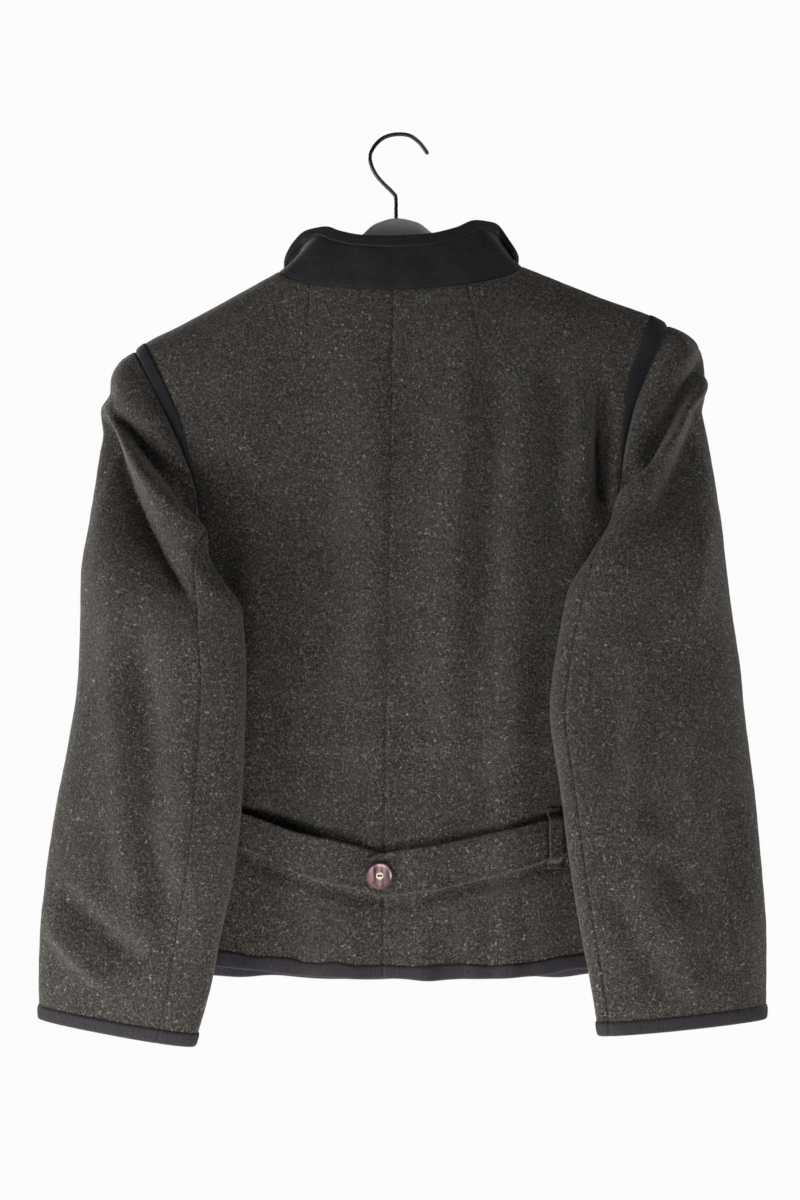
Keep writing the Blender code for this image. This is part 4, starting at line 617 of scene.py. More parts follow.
SEAM_CALM = 0.05          # folds and pushes set in over this share of the sleeve's length
GAP_OVER = 0.06           # and the room to the back over this share
FALL_STEP = 0.02          # the head meets the tube in its direction over this share of the tube
FRONT_FROM = 0.50         # the front half of the head starts at this share of the armhole
FRONT_OVER = 0.06         # and is reached over this share
FREE_DOWN_TO = 0.7        # it is free of the back down to this share of the head
FREE_OVER = 0.3           # and the push sets in over this share
SHAPE_STEP = 0.002        # a sleeve's direction is taken over this share each way
SEEN_TO = 0.30            # folds have gone where the cloth faces forward by this share
SEEN_OVER = 0.75          # and are full where it faces this much further back


def sleeve(side, share, length):
    """Middle surface of a sleeve: share round the armhole, length 0 to 1 down to the cuff."""
    share, length = np.broadcast_arrays(np.asarray(share, float), np.asarray(length, float))
    turn = np.radians(closed_track(share, WORDS[side] + "_turn"))
    head = length < HEAD_SHARE
    t = np.clip(length / HEAD_SHARE, 0, 1)
    station = np.clip((length - HEAD_SHARE) / (1 - HEAD_SHARE), 0, 1)
    hang = tube(side, station, turn)
    foot = tube(side, np.zeros(share.shape), turn)
    fall = unit(tube(side, np.full(share.shape, FALL_STEP), turn) - foot)
    edge, joint, _, start = armhole_seam(side, share)
    cap = hermite(t[..., None], edge + joint * (SEAM_GAP / 2),
                  closed_track(share, "reach")[..., None] * start, foot,
                  closed_track(share, "fall")[..., None] * fall)
    p = np.where(head[..., None], cap, hang)
    gap = BODY_CLEAR * np.clip(length / GAP_OVER, 0.0, 1.0)
    # the front half of the head lies off the back, and needs no push
    ahead = ease((share - FRONT_FROM) / FRONT_OVER)
    behind = 1 - ahead * (1 - ease((length / HEAD_SHARE - FREE_DOWN_TO) / FREE_OVER))
    return keep_clear(side, p, gap, behind * ease(length / SEAM_CALM))


def sleeve_shape(side, share, length):
    """Sleeve points and outward directions, with the folds pressed into them."""
    ahead = sleeve(side, (share + SHAPE_STEP) % 1.0, length)
    behind = sleeve(side, (share - SHAPE_STEP) % 1.0, length)
    up = sleeve(side, share, np.clip(length - SHAPE_STEP, 0, 1))
    down = sleeve(side, share, np.clip(length + SHAPE_STEP, 0, 1))
    n = unit(np.cross(ahead - behind, down - up)) * side
    p = sleeve(side, share, length)
    blend = ease(np.asarray(length) / SEAM_CALM)
    n = unit(armhole_seam(side, share)[2] * (1 - blend[..., None]) + n * blend[..., None])
    # a fold is full on what faces back, and gone where the sleeve has turned to the front
    seen = ease((SEEN_TO - n[..., 1]) / SEEN_OVER)
    fold = folds_at(SLEEVE_FOLDS, p[..., 0], p[..., 2]) * seen * blend
    return p + n * fold[..., None], n


# ---------------------------------------------------------------- creases
# Creases laid on top of the form's largest folds. Heights are out of the cloth.
BACK_CREASES = table(
    "x0      drop0   x1      drop1   width  lee    bow    height", [
    (-0.0195, 0.1900, -0.0220, 0.4900, 0.019, 0.014, 0.001, 0.0066),
    (-0.0600, 0.2500, -0.0560, 0.3900, 0.016, 0.014, 0.002, -0.0026),
    (-0.0720, 0.1850, -0.0690, 0.2350, 0.013, 0.013, 0.000, -0.0022),
    (-0.1500, 0.2750, -0.0880, 0.3400, 0.014, 0.018, 0.004, -0.0046),
    (-0.1420, 0.2500, -0.1180, 0.2950, 0.012, 0.012, 0.002, 0.0022),
    (0.1590, 0.2200, 0.1560, 0.3050, 0.011, 0.010, 0.000, 0.0040),
    (0.1740, 0.2080, 0.1725, 0.3300, 0.0075, 0.0085, 0.000, -0.0120),
    (0.1790, 0.2550, 0.1820, 0.3300, 0.0080, 0.0085, 0.000, -0.0120),
    (-0.1500, 0.3500, -0.1380, 0.4600, 0.012, 0.016, 0.000, -0.0045),
    (-0.1400, 0.4300, -0.0900, 0.4600, 0.016, 0.014, 0.002, -0.0026),
    (-0.1400, 0.5330, 0.1350, 0.5270, 0.006, 0.014, -0.003, 0.0018),
    (0.0700, 0.5200, 0.0780, 0.6000, 0.013, 0.012, 0.001, -0.0026),
    (-0.0250, 0.4300, -0.0280, 0.5600, 0.014, 0.016, 0.001, 0.0022),
    (-0.0700, 0.4800, -0.0660, 0.5700, 0.012, 0.014, 0.001, -0.0022),
    (-0.1160, 0.6500, -0.1220, 0.7800, 0.011, 0.012, 0.001, 0.0030),
    (-0.0836, 0.6500, -0.0860, 0.7800, 0.012, 0.012, 0.001, -0.0034),
    (-0.0370, 0.6600, -0.0390, 0.7800, 0.010, 0.012, 0.001, 0.0028),
    (0.0355, 0.6600, 0.0370, 0.7800, 0.010, 0.012, 0.001, -0.0034),
    (0.0640, 0.6500, 0.0680, 0.7800, 0.010, 0.010, 0.001, 0.0026),
    (0.1080, 0.6500, 0.1130, 0.7800, 0.010, 0.012, 0.001, -0.0034)])
# Hollows above and below the half belt, which spans them.
BELT_DIPS = table(
    "x0      drop0   x1      drop1   width  lee    bow    height", [
    (-0.1600, 0.6080, 0.0080, 0.6620, 0.0060, 0.0055, 0.009, -0.0030),
    (0.0000, 0.6610, 0.1550, 0.6240, 0.0060, 0.0055, 0.000, -0.0035),
    (-0.1850, 0.5660, -0.0600, 0.6050, 0.011, 0.010, 0.003, -0.0048),
    (0.0700, 0.6090, 0.1600, 0.5840, 0.0070, 0.0065, 0.002, -0.0042)])
FRONT_CREASES = table(
    "x0      drop0   x1      drop1   width  lee    bow    height", [
    (-0.1750, 0.2800, -0.1050, 0.3600, 0.014, 0.018, 0.004, -0.0065),
    (0.1800, 0.2750, 0.1100, 0.3650, 0.014, 0.018, 0.004, -0.0065),
    (-0.1550, 0.3400, -0.0800, 0.4050, 0.010, 0.012, 0.002, 0.0045),
    (0.1600, 0.3350, 0.0800, 0.4100, 0.010, 0.012, 0.002, 0.0045),
    (-0.0600, 0.4400, -0.1500, 0.4600, 0.012, 0.012, 0.002, -0.0036),
    (0.0500, 0.4500, 0.1400, 0.4650, 0.012, 0.012, 0.002, -0.0040),
    (0.0450, 0.2300, 0.0600, 0.4300, 0.018, 0.022, 0.003, 0.0048),
    (-0.0500, 0.2300, -0.0480, 0.4100, 0.018, 0.022, 0.002, 0.0044),
    (0.0820, 0.2000, 0.0880, 0.3900, 0.014, 0.016, 0.002, -0.0034),
    (-0.0900, 0.4300, -0.0860, 0.5900, 0.016, 0.018, 0.002, 0.0036),
    (0.0500, 0.5900, 0.0520, 0.8200, 0.014, 0.016, 0.002, -0.0046),
    (-0.0550, 0.5800, -0.0600, 0.8200, 0.014, 0.016, 0.002, -0.0046),
    (-0.1450, 0.5800, -0.1520, 0.8200, 0.014, 0.016, 0.002, -0.0042),
    (0.1450, 0.6000, 0.1520, 0.8200, 0.014, 0.016, 0.002, -0.0042)])
# A dart below each side of the neck: x0, drop0, x1, drop1 of its line.
DARTS = {LEFT: (-0.0759, 0.1300, -0.0776, 0.1880), RIGHT: (0.0598, 0.1350, 0.0760, 0.2080)}
DART_WIDTH = 0.0011
DART_DEPTH = 0.0013
SEAM_SINK = 0.0018        # how far the cloth rolls in at a seam
SEAM_ROLL = 0.0015        # and over what distance
EASE_WAVE = 0.0007        # slow unevenness of hanging cloth
NAP_WAVE = 0.0001         # fine unevenness of its face
NAP_SPACING = 0.009       # and its spacing


# ---------------------------------------------------------------- grids of cloth
def shares(count, marks, step):
    """Evenly spaced shares from 0 to 1, with closer ones added about each mark."""
    near = np.array([0.0, 0.12, 0.27, 0.47, 0.75, 1.1]) * step * 1.6
    close = [m + s * near for m in marks for s in (-1, 1)]
    even = np.linspace(0, 1, count + 1)
    even = even[np.min(np.abs(even[:, None] - np.array(marks)), axis=1) > near[-1] * 1.15]
    every = np.unique(np.round(np.concatenate([even] + close), 7))
    return every[(every >= 0) & (every <= 1)]


def ripple(p, wave, seed):
    """Smooth unevenness of about unit size over points, from a few crossing waves."""
    spin = np.random.default_rng(seed)
    total = np.zeros(p.shape[:-1])
    for _ in range(7):
        way = unit(spin.normal(size=3)) * 2 * np.pi / (wave * spin.uniform(0.7, 1.6))
        total += np.sin(p @ way + spin.uniform(0, 2 * np.pi))
    return total / 7 ** 0.5


def grid_normal(mid, toward):
    """Directions out of a grid of points, on the side of the given rough directions."""
    n = unit(np.cross(np.gradient(mid, axis=1), np.gradient(mid, axis=0)))
    return n * (1 if np.sum(n * toward, axis=-1).mean() >= 0 else -1)


def edge_gap(mid, edges):
    """Distance of each grid point from the named edges, along its own row or column."""
    across = np.linalg.norm(np.diff(mid, axis=1), axis=-1)
    down = np.linalg.norm(np.diff(mid, axis=0), axis=-1)
    u = np.concatenate([np.zeros((mid.shape[0], 1)), np.cumsum(across, axis=1)], axis=1)
    v = np.concatenate([np.zeros((1, mid.shape[1])), np.cumsum(down, axis=0)], axis=0)
    far = {"first": u, "last": u[:, -1:] - u, "low": v, "high": v[-1:] - v}
    return np.min([far[edge] for edge in edges], axis=0)


def finished_face(mid, rough, seams, dip=0.0):
    """Roll a grid of cloth in at its seams, press a dip into it and give it a fine uneven face."""
    sink = SEAM_SINK * np.exp(-(edge_gap(mid, seams) / SEAM_ROLL) ** 2) + dip
    normal = grid_normal(mid, rough)
    mid = mid - normal * sink[..., None]
    mid = mid + normal * (ripple(mid, NAP_SPACING, 5) * NAP_WAVE)[..., None]
    return mid, grid_normal(mid, rough)


def below(mid, normal, distance, from_first):
    """Middle points and directions at a distance from the first or last row of a grid."""
    grid = mid if from_first else mid[::-1]
    ways = normal if from_first else normal[::-1]
    points, turned = [], []
    for k in range(grid.shape[1]):
        run = lengths(grid[:, k])
        points.append(sample(distance, run, grid[:, k]))
        turned.append(sample(distance, run, ways[:, k]))
    return np.array(points), unit(turned)


# ---------------------------------------------------------------- pieces
WELD = 0.00002            # points nearer than this are one point of a cloth shell
RIM_ROUND = 0.42          # how far a shell's rim bulges, as a share of its thickness
LEAST_FILL = 0.31         # a cut is at least this share of the rectangle round it


def add_object(name, data):
    """A new object of the scene that shows some data."""
    thing = bpy.data.objects.new(name, data)
    bpy.context.scene.collection.objects.link(thing)
    return thing


def mesh_piece(name, verts, faces, finish, nodes=(), weld=0.0):
    """One visible piece, riding with the body and standing for its CAD nodes."""
    mesh = bpy.data.meshes.new(name)
    mesh.from_pydata(np.asarray(verts, float).tolist(), [], [list(map(int, f)) for f in faces])
    mesh.validate()
    work = bmesh.new()
    work.from_mesh(mesh)
    if weld:
        bmesh.ops.remove_doubles(work, verts=work.verts, dist=weld)
    bmesh.ops.recalc_face_normals(work, faces=work.faces)
    work.to_mesh(mesh)
    work.free()
    mesh.shade_smooth()
    mesh.materials.append(MATERIALS[finish])
    piece = add_object(name, mesh)
    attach(piece, "root")
    if nodes:
        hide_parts(*nodes)
    return piece


def cloth_piece(name, mid, normal, thick, finish, node, rests_on=()):
    """A thin cloth about a grid of middle points, with rounded rims; the size of its cut is worked out but
    not used.
    """
    out = mid + normal * thick / 2
    back = mid - normal * thick / 2
    half = mid.shape[0] * mid.shape[1]
    index = np.arange(half).reshape(mid.shape[:2])
    quads = [index[:-1, :-1], index[:-1, 1:], index[1:, 1:], index[1:, :-1]]
    quads = np.stack([q.ravel() for q in quads], axis=1)
    faces = [quads, quads[:, ::-1] + half]
    verts = [out.reshape(-1, 3), back.reshape(-1, 3)]
    # one rounded row closes the first and last row, and then the first and last column
    for turned in (False, True):
        order, m, o, b = (a.swapaxes(0, 1) if turned else a for a in (index, mid, out, back))
        for edge, inner in ((0, 1), (-1, -2)):
            line = order[edge]
            rim = sum(len(v) for v in verts) + np.arange(len(line))
            verts.append((o[edge] + b[edge]) / 2 + unit(m[edge] - m[inner]) * thick * RIM_ROUND)
            faces.append(np.stack([line[:-1], line[1:], rim[1:], rim[:-1]], 1))
            faces.append(np.stack([rim[:-1], rim[1:], line[1:] + half, line[:-1] + half], 1))
    piece = mesh_piece(name, np.concatenate(verts), np.concatenate(faces), finish, [node], WELD)
    # the cut: the widest row, the longest column and the area of the grid
    width = float(np.linalg.norm(np.diff(mid, axis=1), axis=-1).sum(axis=1).max())
    length = float(np.linalg.norm(np.diff(mid, axis=0), axis=-1).sum(axis=0).max())
    corners = np.cross(mid[1:, 1:] - mid[:-1, :-1], mid[1:, :-1] - mid[:-1, 1:])
    area = float(np.linalg.norm(corners, axis=-1).sum() / 2)
    area = min(max(area, LEAST_FILL * width * length), width * length)


def tube_faces(count, size, closed=False):
    """Faces of a tube of rings, which has two caps or runs round into its first ring."""
    r, c = np.meshgrid(np.arange(count if closed else count - 1), np.arange(size), indexing="ij")
    d, q = (c + 1) % size, (r + 1) % count
    faces = np.stack([r * size + c, r * size + d, q * size + d, q * size + c], axis=-1)
    faces = [tuple(f) for f in faces.reshape(-1, 4)]
    if closed:
        return faces
    return faces + [tuple(range(size))[::-1], tuple((count - 1) * size + k for k in range(size))]


# ---------------------------------------------------------------- shader nodes
def node_material(name, sockets):
    """A new node material, its tree and its shader, with some of the shader's own sockets set."""
    material = bpy.data.materials.new(name)
    material.use_nodes = True
    shader = material.node_tree.nodes["Principled BSDF"]
    for socket, value in sockets.items():
        shader.inputs[socket].default_value = value
    return material, material.node_tree, shader


def add_node(tree, kind, **settings):
    """A new node of a kind, with its settings."""
    node = tree.nodes.new("ShaderNode" + kind)
    for setting, value in settings.items():
        setattr(node, setting, value)
    return node


def feed(tree, socket, value):
    """Give a socket a number, an rgb triple or another socket's value."""
    if isinstance(value, (int, float)):
        socket.default_value = value
    elif isinstance(value, tuple):
        socket.default_value = (*value, 1.0)
    else:
        tree.links.new(value, socket)


def math_node(tree, operation, a, b):
    """The value of a Math node."""
    node = add_node(tree, "Math", operation=operation)
    feed(tree, node.inputs[0], a)
    feed(tree, node.inputs[1], b)
    return node.outputs[0]


def times(tree, value, factor):
    """A value times another value or a number."""
    return math_node(tree, "MULTIPLY", value, factor)


def plus(tree, value, other):
    """A value plus another value or a number."""
    return math_node(tree, "ADD", value, other)


def noise(tree, place, scale, detail=2.0, rough=0.5, distort=0.0, output="Fac"):
    """A noise texture at a place."""
    node = add_node(tree, "TexNoise")
    tree.links.new(place, node.inputs["Vector"])
    node.inputs["Scale"].default_value = scale
    node.inputs["Detail"].default_value = detail
    node.inputs["Roughness"].default_value = rough
    node.inputs["Distortion"].default_value = distort
    return node.outputs[output]


def mix(tree, share, a, b, mode="MIX"):
    """Blend two colours, each a socket or an rgb triple."""
    node = add_node(tree, "Mix", data_type="RGBA", blend_type=mode)
    for number, value in ((0, share), (6, a), (7, b)):
        feed(tree, node.inputs[number], value)
    return node.outputs[2]


def window(tree, value, low, high):
    """0 below low, 1 above high, smooth between."""
    node = add_node(tree, "MapRange", interpolation_type="SMOOTHSTEP")
    tree.links.new(value, node.inputs["Value"])
    node.inputs["From Min"].default_value = low
    node.inputs["From Max"].default_value = high
    return node.outputs["Result"]


def place_of(tree, shift=(0, 0, 0), scale=(1, 1, 1)):
    """Object coordinates, moved and scaled."""
    mapping = add_node(tree, "Mapping")
    mapping.inputs["Location"].default_value = shift
    mapping.inputs["Scale"].default_value = scale
    tree.links.new(add_node(tree, "TexCoord").outputs["Object"], mapping.inputs["Vector"])
    return mapping.outputs[0]


def bump(tree, shader, height, distance, strength):
    """Feed a height into a shader's normal."""
    node = add_node(tree, "Bump")
    node.inputs["Strength"].default_value = strength
    node.inputs["Distance"].default_value = distance
    tree.links.new(height, node.inputs["Height"])
    tree.links.new(node.outputs["Normal"], shader.inputs["Normal"])


def fibres(tree, scale, thick, keep, shift):
    """Short curly hairs: bent cell borders of even thickness, broken up by a noise."""
    place = place_of(tree, shift)
    bent = add_node(tree, "VectorMath", operation="MULTIPLY_ADD")
    tree.links.new(noise(tree, place, scale * 0.8, 1.0, output="Color"), bent.inputs[0])
    bent.inputs[1].default_value = (CURL / scale,) * 3
    tree.links.new(place, bent.inputs[2])
    cells = add_node(tree, "TexVoronoi", feature="DISTANCE_TO_EDGE")
    tree.links.new(bent.outputs[0], cells.inputs["Vector"])
    cells.inputs["Scale"].default_value = scale
    edge = window(tree, cells.outputs["Distance"], thick * 0.3, thick)
    part = window(tree, noise(tree, place, scale * 1.3, 1.0), keep, keep + 0.05)
    return times(tree, math_node(tree, "SUBTRACT", 1.0, edge), part)


# ---------------------------------------------------------------- materials
LODEN_DARK = (0.0133, 0.0115, 0.0100)
LODEN_LIGHT = (0.0462, 0.0402, 0.0346)
LODEN_GREEN = (0.0262, 0.0274, 0.0250)
LODEN_BROWN = (0.0395, 0.0322, 0.0284)
# scale, thickness as a share of a cell, how much is kept (higher is less), shift, colour, share
HAIRS = (
    (330.0, 0.085, 0.52, (0.0, 0.0, 0.0), (0.175, 0.166, 0.149), 0.70),
    (420.0, 0.105, 0.53, (5.2, 1.3, 2.9), (0.120, 0.110, 0.095), 0.75),
    (270.0, 0.062, 0.59, (1.9, 7.7, 4.1), (0.340, 0.330, 0.308), 0.75),
    (360.0, 0.095, 0.57, (8.3, 3.1, 6.6), (0.085, 0.060, 0.048), 0.70))
CURL = 1.1                # how strongly the hairs bend
FELT_DARK = (0.0118, 0.0115, 0.0130)
FELT_LIGHT = (0.0248, 0.0240, 0.0272)
LINT = (0.07, 0.07, 0.072)
# Streaks of the horn: where each colour lies between 0 and 1, and the colour.
HORN_STOPS = (
    (0.05, (0.012, 0.007, 0.008)), (0.22, (0.070, 0.036, 0.038)), (0.34, (0.290, 0.165, 0.170)),
    (0.46, (0.030, 0.016, 0.017)), (0.60, (0.220, 0.165, 0.172)), (0.70, (0.026, 0.014, 0.016)),
    (0.86, (0.310, 0.190, 0.190)))
HORN_PALE = (0.30, 0.21, 0.21)


def loden():
    """Fulled wool: dark heather with pale, brown and greenish hairs and a soft nap."""
    material, tree, shader = node_material("loden_wool", {
        "Roughness": 0.92, "Specular IOR Level": 0.18, "Sheen Weight": 0.18,
        "Sheen Roughness": 0.50, "Sheen Tint": (0.75, 0.72, 0.68, 1.0)})
    place = place_of(tree)
    grain = noise(tree, place, 520.0, 3.0, 0.62)
    clump = noise(tree, place, 240.0, 2.0, 0.55)
    patch = noise(tree, place, 26.0)
    hue = noise(tree, place_of(tree, (3.1, 1.7, 0.4)), 30.0, 3.0, 0.6)
    base = mix(tree, window(tree, grain, 0.36, 0.66), LODEN_DARK, LODEN_LIGHT)
    base = mix(tree, times(tree, window(tree, hue, 0.50, 0.66), 0.60), base, LODEN_GREEN)
    base = mix(tree, times(tree, window(tree, hue, 0.50, 0.34), 0.55), base, LODEN_BROWN)
    shade = times(tree, plus(tree, times(tree, window(tree, clump, 0.32, 0.68), 0.42), 0.78),
                  plus(tree, times(tree, window(tree, patch, 0.3, 0.7), 0.22), 0.88))
    colour = mix(tree, 1.0, base, shade, "MULTIPLY")
    hairs = None
    for scale, thin, keep, shift, tint, share in HAIRS:
        hair = fibres(tree, scale, thin, keep, shift)
        colour = mix(tree, times(tree, hair, share), colour, tint)
        hairs = hair if hairs is None else math_node(tree, "MAXIMUM", hairs, hair)
    tree.links.new(colour, shader.inputs["Base Color"])
    height = plus(tree, times(tree, clump, 0.8), times(tree, hairs, 0.5))
    bump(tree, shader, plus(tree, times(tree, grain, 0.7), height), 0.0018, 0.9)
    return material


def felt():
    """Black felt with a faint nap and a little lint."""
    material, tree, shader = node_material("black_felt", {
        "Roughness": 0.88, "Specular IOR Level": 0.10, "Sheen Weight": 0.07,
        "Sheen Roughness": 0.5, "Sheen Tint": (0.8, 0.8, 0.85, 1.0)})
    place = place_of(tree)
    grain = noise(tree, place, 900.0, 3.0, 0.6)
    colour = mix(tree, window(tree, grain, 0.35, 0.7), FELT_DARK, FELT_LIGHT)
    patch = window(tree, noise(tree, place, 45.0), 0.3, 0.7)
    colour = mix(tree, 1.0, colour, plus(tree, times(tree, patch, 0.3), 0.85), "MULTIPLY")
    lint = fibres(tree, 240.0, 0.060, 0.66, (2.0, 5.0, 1.0))
    colour = mix(tree, times(tree, lint, 0.5), colour, LINT)
    tree.links.new(colour, shader.inputs["Base Color"])
    bump(tree, shader, grain, 0.0006, 0.5)
    return material


def tape(name, low, high):
    """Ribbed braid with a slight violet cast."""
    material, tree, shader = node_material(name, {
        "Roughness": 0.72, "Specular IOR Level": 0.16, "Sheen Weight": 0.08})
    grain = noise(tree, place_of(tree), 1100.0, 2.0, 0.6)
    tree.links.new(mix(tree, window(tree, grain, 0.35, 0.7), low, high), shader.inputs["Base Color"])
    bump(tree, shader, grain, 0.0004, 0.5)
    return material


def plain(name, rgb, rough, metal=0.0, specular=0.5, grain=0.0):
    """A smooth hard material with a trace of uneven colour and roughness."""
    material, tree, shader = node_material(name, {
        "Metallic": metal, "Specular IOR Level": specular})
    value = noise(tree, place_of(tree), 600.0, 3.0, 0.6)
    light = tuple(min(1.0, c * 1.25 + 0.002) for c in rgb)
    tree.links.new(mix(tree, window(tree, value, 0.3, 0.7), rgb, light), shader.inputs["Base Color"])
    tree.links.new(plus(tree, times(tree, value, 0.12), rough - 0.06), shader.inputs["Roughness"])
    if grain:
        bump(tree, shader, value, grain, 0.4)
    return material


def horn():
    """Horn-like button: upright streaks of pink, grey and dark brown."""
    material, tree, shader = node_material("horn_button", {"Roughness": 0.32, "Coat Weight": 0.35})
    place = place_of(tree, scale=(1.0, 0.2, 0.06))
    streak = window(tree, noise(tree, place, 430.0, 1.0, 0.5, 0.3), 0.34, 0.66)
    fine = noise(tree, place_of(tree, (1, 2, 3), (1.0, 0.3, 0.10)), 1500.0)
    ramp = add_node(tree, "ValToRGB")
    stops = ramp.color_ramp.elements
    stops[0].position = HORN_STOPS[0][0]
    stops[1].position = HORN_STOPS[-1][0]
    for position, _ in HORN_STOPS[1:-1]:
        stops.new(position)
    for stop, (_, rgb) in zip(stops, HORN_STOPS):
        stop.color = (*rgb, 1)
    tree.links.new(streak, ramp.inputs[0])
    colour = mix(tree, times(tree, fine, 0.22), ramp.outputs[0], HORN_PALE)
    tree.links.new(colour, shader.inputs["Base Color"])
    return material


MATERIALS = {
    "loden": loden(),
    "felt": felt(),
    "tape": tape("ribbed_braid", (0.0150, 0.0130, 0.0160), (0.0440, 0.0390, 0.0450)),
    "collar_tape": tape("collar_braid", (0.0080, 0.0072, 0.0094), (0.0200, 0.0178, 0.0230)),
    "horn": horn(),
    "rim": plain("horn_rim", (0.085, 0.016, 0.026), 0.30),
    "pith": plain("button_centre", (0.62, 0.52, 0.44), 0.35),
    "thread": plain("dark_thread", (0.010, 0.009, 0.009), 0.8),
    "hanger": plain("hanger_plastic", (0.270, 0.247, 0.256), 0.60, specular=0.25, grain=0.0002),
    "wire": plain("hook_wire", (0.040, 0.040, 0.042), 0.35, metal=0.85)}

# ---------------------------------------------------------------- body panels
UNDER_ROWS = 112          # rows of points below the underarm
ARM_ROWS = 92             # and above it
PANEL_COLS = {BACK: 66, FRONT: 70}
PANEL_CLOSE = 0.0125      # spacing of the closer columns at a seam, as a share of the width
DART_SHARE = 0.36         # share of the panel's width where its points gather for the dart
DART_FADE = 0.0200        # the dart ends over this length
PANEL_SWAY = 0.16         # spacing of the slow waves
ARMHOLE_CALM = 0.016      # within this distance of the side edge, creases shrink
CALM_LEAST = 0.15         # to this share
PANEL_ROWS = np.concatenate([
    np.linspace(0.0, UNDERARM_SHARE, UNDER_ROWS + 1),
    UNDERARM_SHARE + (1 - UNDERARM_SHARE) * np.linspace(0, 1, ARM_ROWS + 1)[1:]])


def dart_line(side, drop):
    """How far out the dart runs at a drop."""
    x0, drop0, x1, drop1 = DARTS[side]
    return x0 + (x1 - x0) * np.clip((drop - drop0) / (drop1 - drop0), -0.2, 1.4)


def darted(side):
    """Column shares of a back panel, drawn so that one column runs down the dart."""
    guess = np.linspace(0, 1, 121)
    p, _ = panel(side, BACK, guess[None, :], PANEL_ROWS[:, None])
    miss = np.abs(p[..., 0] - dart_line(side, -p[..., 2]))
    at = guess[np.argmin(miss, axis=1)]
    for _ in range(12):
        at[1:-1] = (at[:-2] + 2 * at[1:-1] + at[2:]) / 4
    cols = shares(PANEL_COLS[BACK], (0.0, DART_SHARE, 1.0), PANEL_CLOSE)
    low = cols / DART_SHARE * at[:, None]
    high = at[:, None] + (cols - DART_SHARE) / (1 - DART_SHARE) * (1 - at[:, None])
    return np.where(cols < DART_SHARE, low, high)


def body_panel(side, face, creases):
    """Middle points and directions of a panel with its creases, its seams and its dart."""
    cols = shares(PANEL_COLS[FRONT], (0.0, 1.0), PANEL_CLOSE) if face == FRONT else darted(side)
    mid, rough = panel(side, face, cols, PANEL_ROWS[:, None])
    sway = ripple(mid, PANEL_SWAY, 11 + face) * EASE_WAVE
    fold = sum(folds_at(table_of_folds, mid[..., 0], mid[..., 2]) for table_of_folds in creases)
    calm = ease(edge_gap(mid, ["last"]) / ARMHOLE_CALM)
    hold = calm * (1 - CALM_LEAST) + CALM_LEAST
    mid = mid + rough * ((fold + sway) * hold)[..., None]
    if face == FRONT:
        return finished_face(mid, rough, ["last", "high"])
    drop = -mid[..., 2]
    off = (mid[..., 0] - dart_line(side, drop)) / DART_WIDTH
    dart = DART_DEPTH * np.exp(-off ** 2) * ease((DARTS[side][3] - drop) / DART_FADE)
    return finished_face(mid, rough, ["first", "last", "high"], dart)


panels = {}
for side in (LEFT, RIGHT):
    for face, prefix, creases in ((BACK, "back", (BACK_CREASES, BELT_DIPS)),
                                  (FRONT, "front", (FRONT_CREASES,))):
        node = f"{prefix}_{WORDS[side]}"
        panels[side, face] = body_panel(side, face, creases)
        cloth_piece(f"{node}_cloth", *panels[side, face], CLOTH, "loden", node, ["hanger_piece"])

# ---------------------------------------------------------------- sleeves
HEAD_ROWS = 84            # rows of points of a sleeve's head
TUBE_ROWS = 99            # and of the tube below it
SLEEVE_CLOSE = 0.0105     # spacing of the closer columns at a seam, as a share of the width
SLEEVE_SWAY = 0.13        # spacing of the slow waves
SLEEVE_HOLD = 0.07        # creases set in over this share of the length
HIDDEN_DEPTH = 0.45       # the folds of the hidden side are this share as deep
HIDDEN_SHIFT = 0.02       # and lie this much lower
HIDDEN_FROM = 0.1         # they begin where the cloth faces forward by this share
HIDDEN_OVER = 0.6         # and are whole this much further round
# Each part runs round the armhole from one seam to the other.
SLEEVE_PARTS = (
    ("upper", FRONT_SEAM_SHARE, 1 + BACK_SEAM_SHARE, 88),
    ("under", BACK_SEAM_SHARE, FRONT_SEAM_SHARE, 40))
SLEEVE_ROWS = np.concatenate([
    HEAD_SHARE * np.linspace(0, 1, HEAD_ROWS + 1) ** 1.1,
    HEAD_SHARE + (1 - HEAD_SHARE) * np.linspace(0, 1, TUBE_ROWS + 1)[1:]])


def sleeve_part(side, part, start, stop, count):
    """Middle points and directions of one part of a sleeve, with its creases and seams."""
    share = (start + (stop - start) * shares(count, (0.0, 1.0), SLEEVE_CLOSE)) % 1.0
    share, length = np.broadcast_arrays(share[None, :], SLEEVE_ROWS[:, None])
    mid, rough = sleeve_shape(side, share, length)
    hold = ease(length / SLEEVE_HOLD)
    if part == "upper":
        out = side * mid[..., 0]
        near = ease((out - out.max(axis=1, keepdims=True) + EDGE_REACH) / EDGE_REACH)
        shift = track(-mid[..., 2], HEAD_EDGE[side]["drop"], HEAD_EDGE[side]["out"])
        mid[..., 0] += side * shift * near * hold
    hidden = ease((rough[..., 1] - HIDDEN_FROM) / HIDDEN_OVER)
    mirror = folds_at(SLEEVE_FOLDS, -mid[..., 0], mid[..., 2] + HIDDEN_SHIFT) * hidden
    sway = ripple(mid, SLEEVE_SWAY, 23) * EASE_WAVE
    mid = mid + rough * ((HIDDEN_DEPTH * mirror + sway) * hold)[..., None]
    return finished_face(mid, rough, ["first", "last", "low"])


cuff_rings = {}
for side in (LEFT, RIGHT):
    parts = []
    for part, start, stop, count in SLEEVE_PARTS:
        node = f"sleeve_{WORDS[side]}_{part}"
        parts.append(sleeve_part(side, part, start, stop, count))
        cloth_piece(f"{node}_cloth", *parts[-1], CLOTH, "loden", node)
    cuff_rings[side] = [np.concatenate([parts[0][k], parts[1][k][:, 1:-1]], axis=1) for k in (0, 1)]

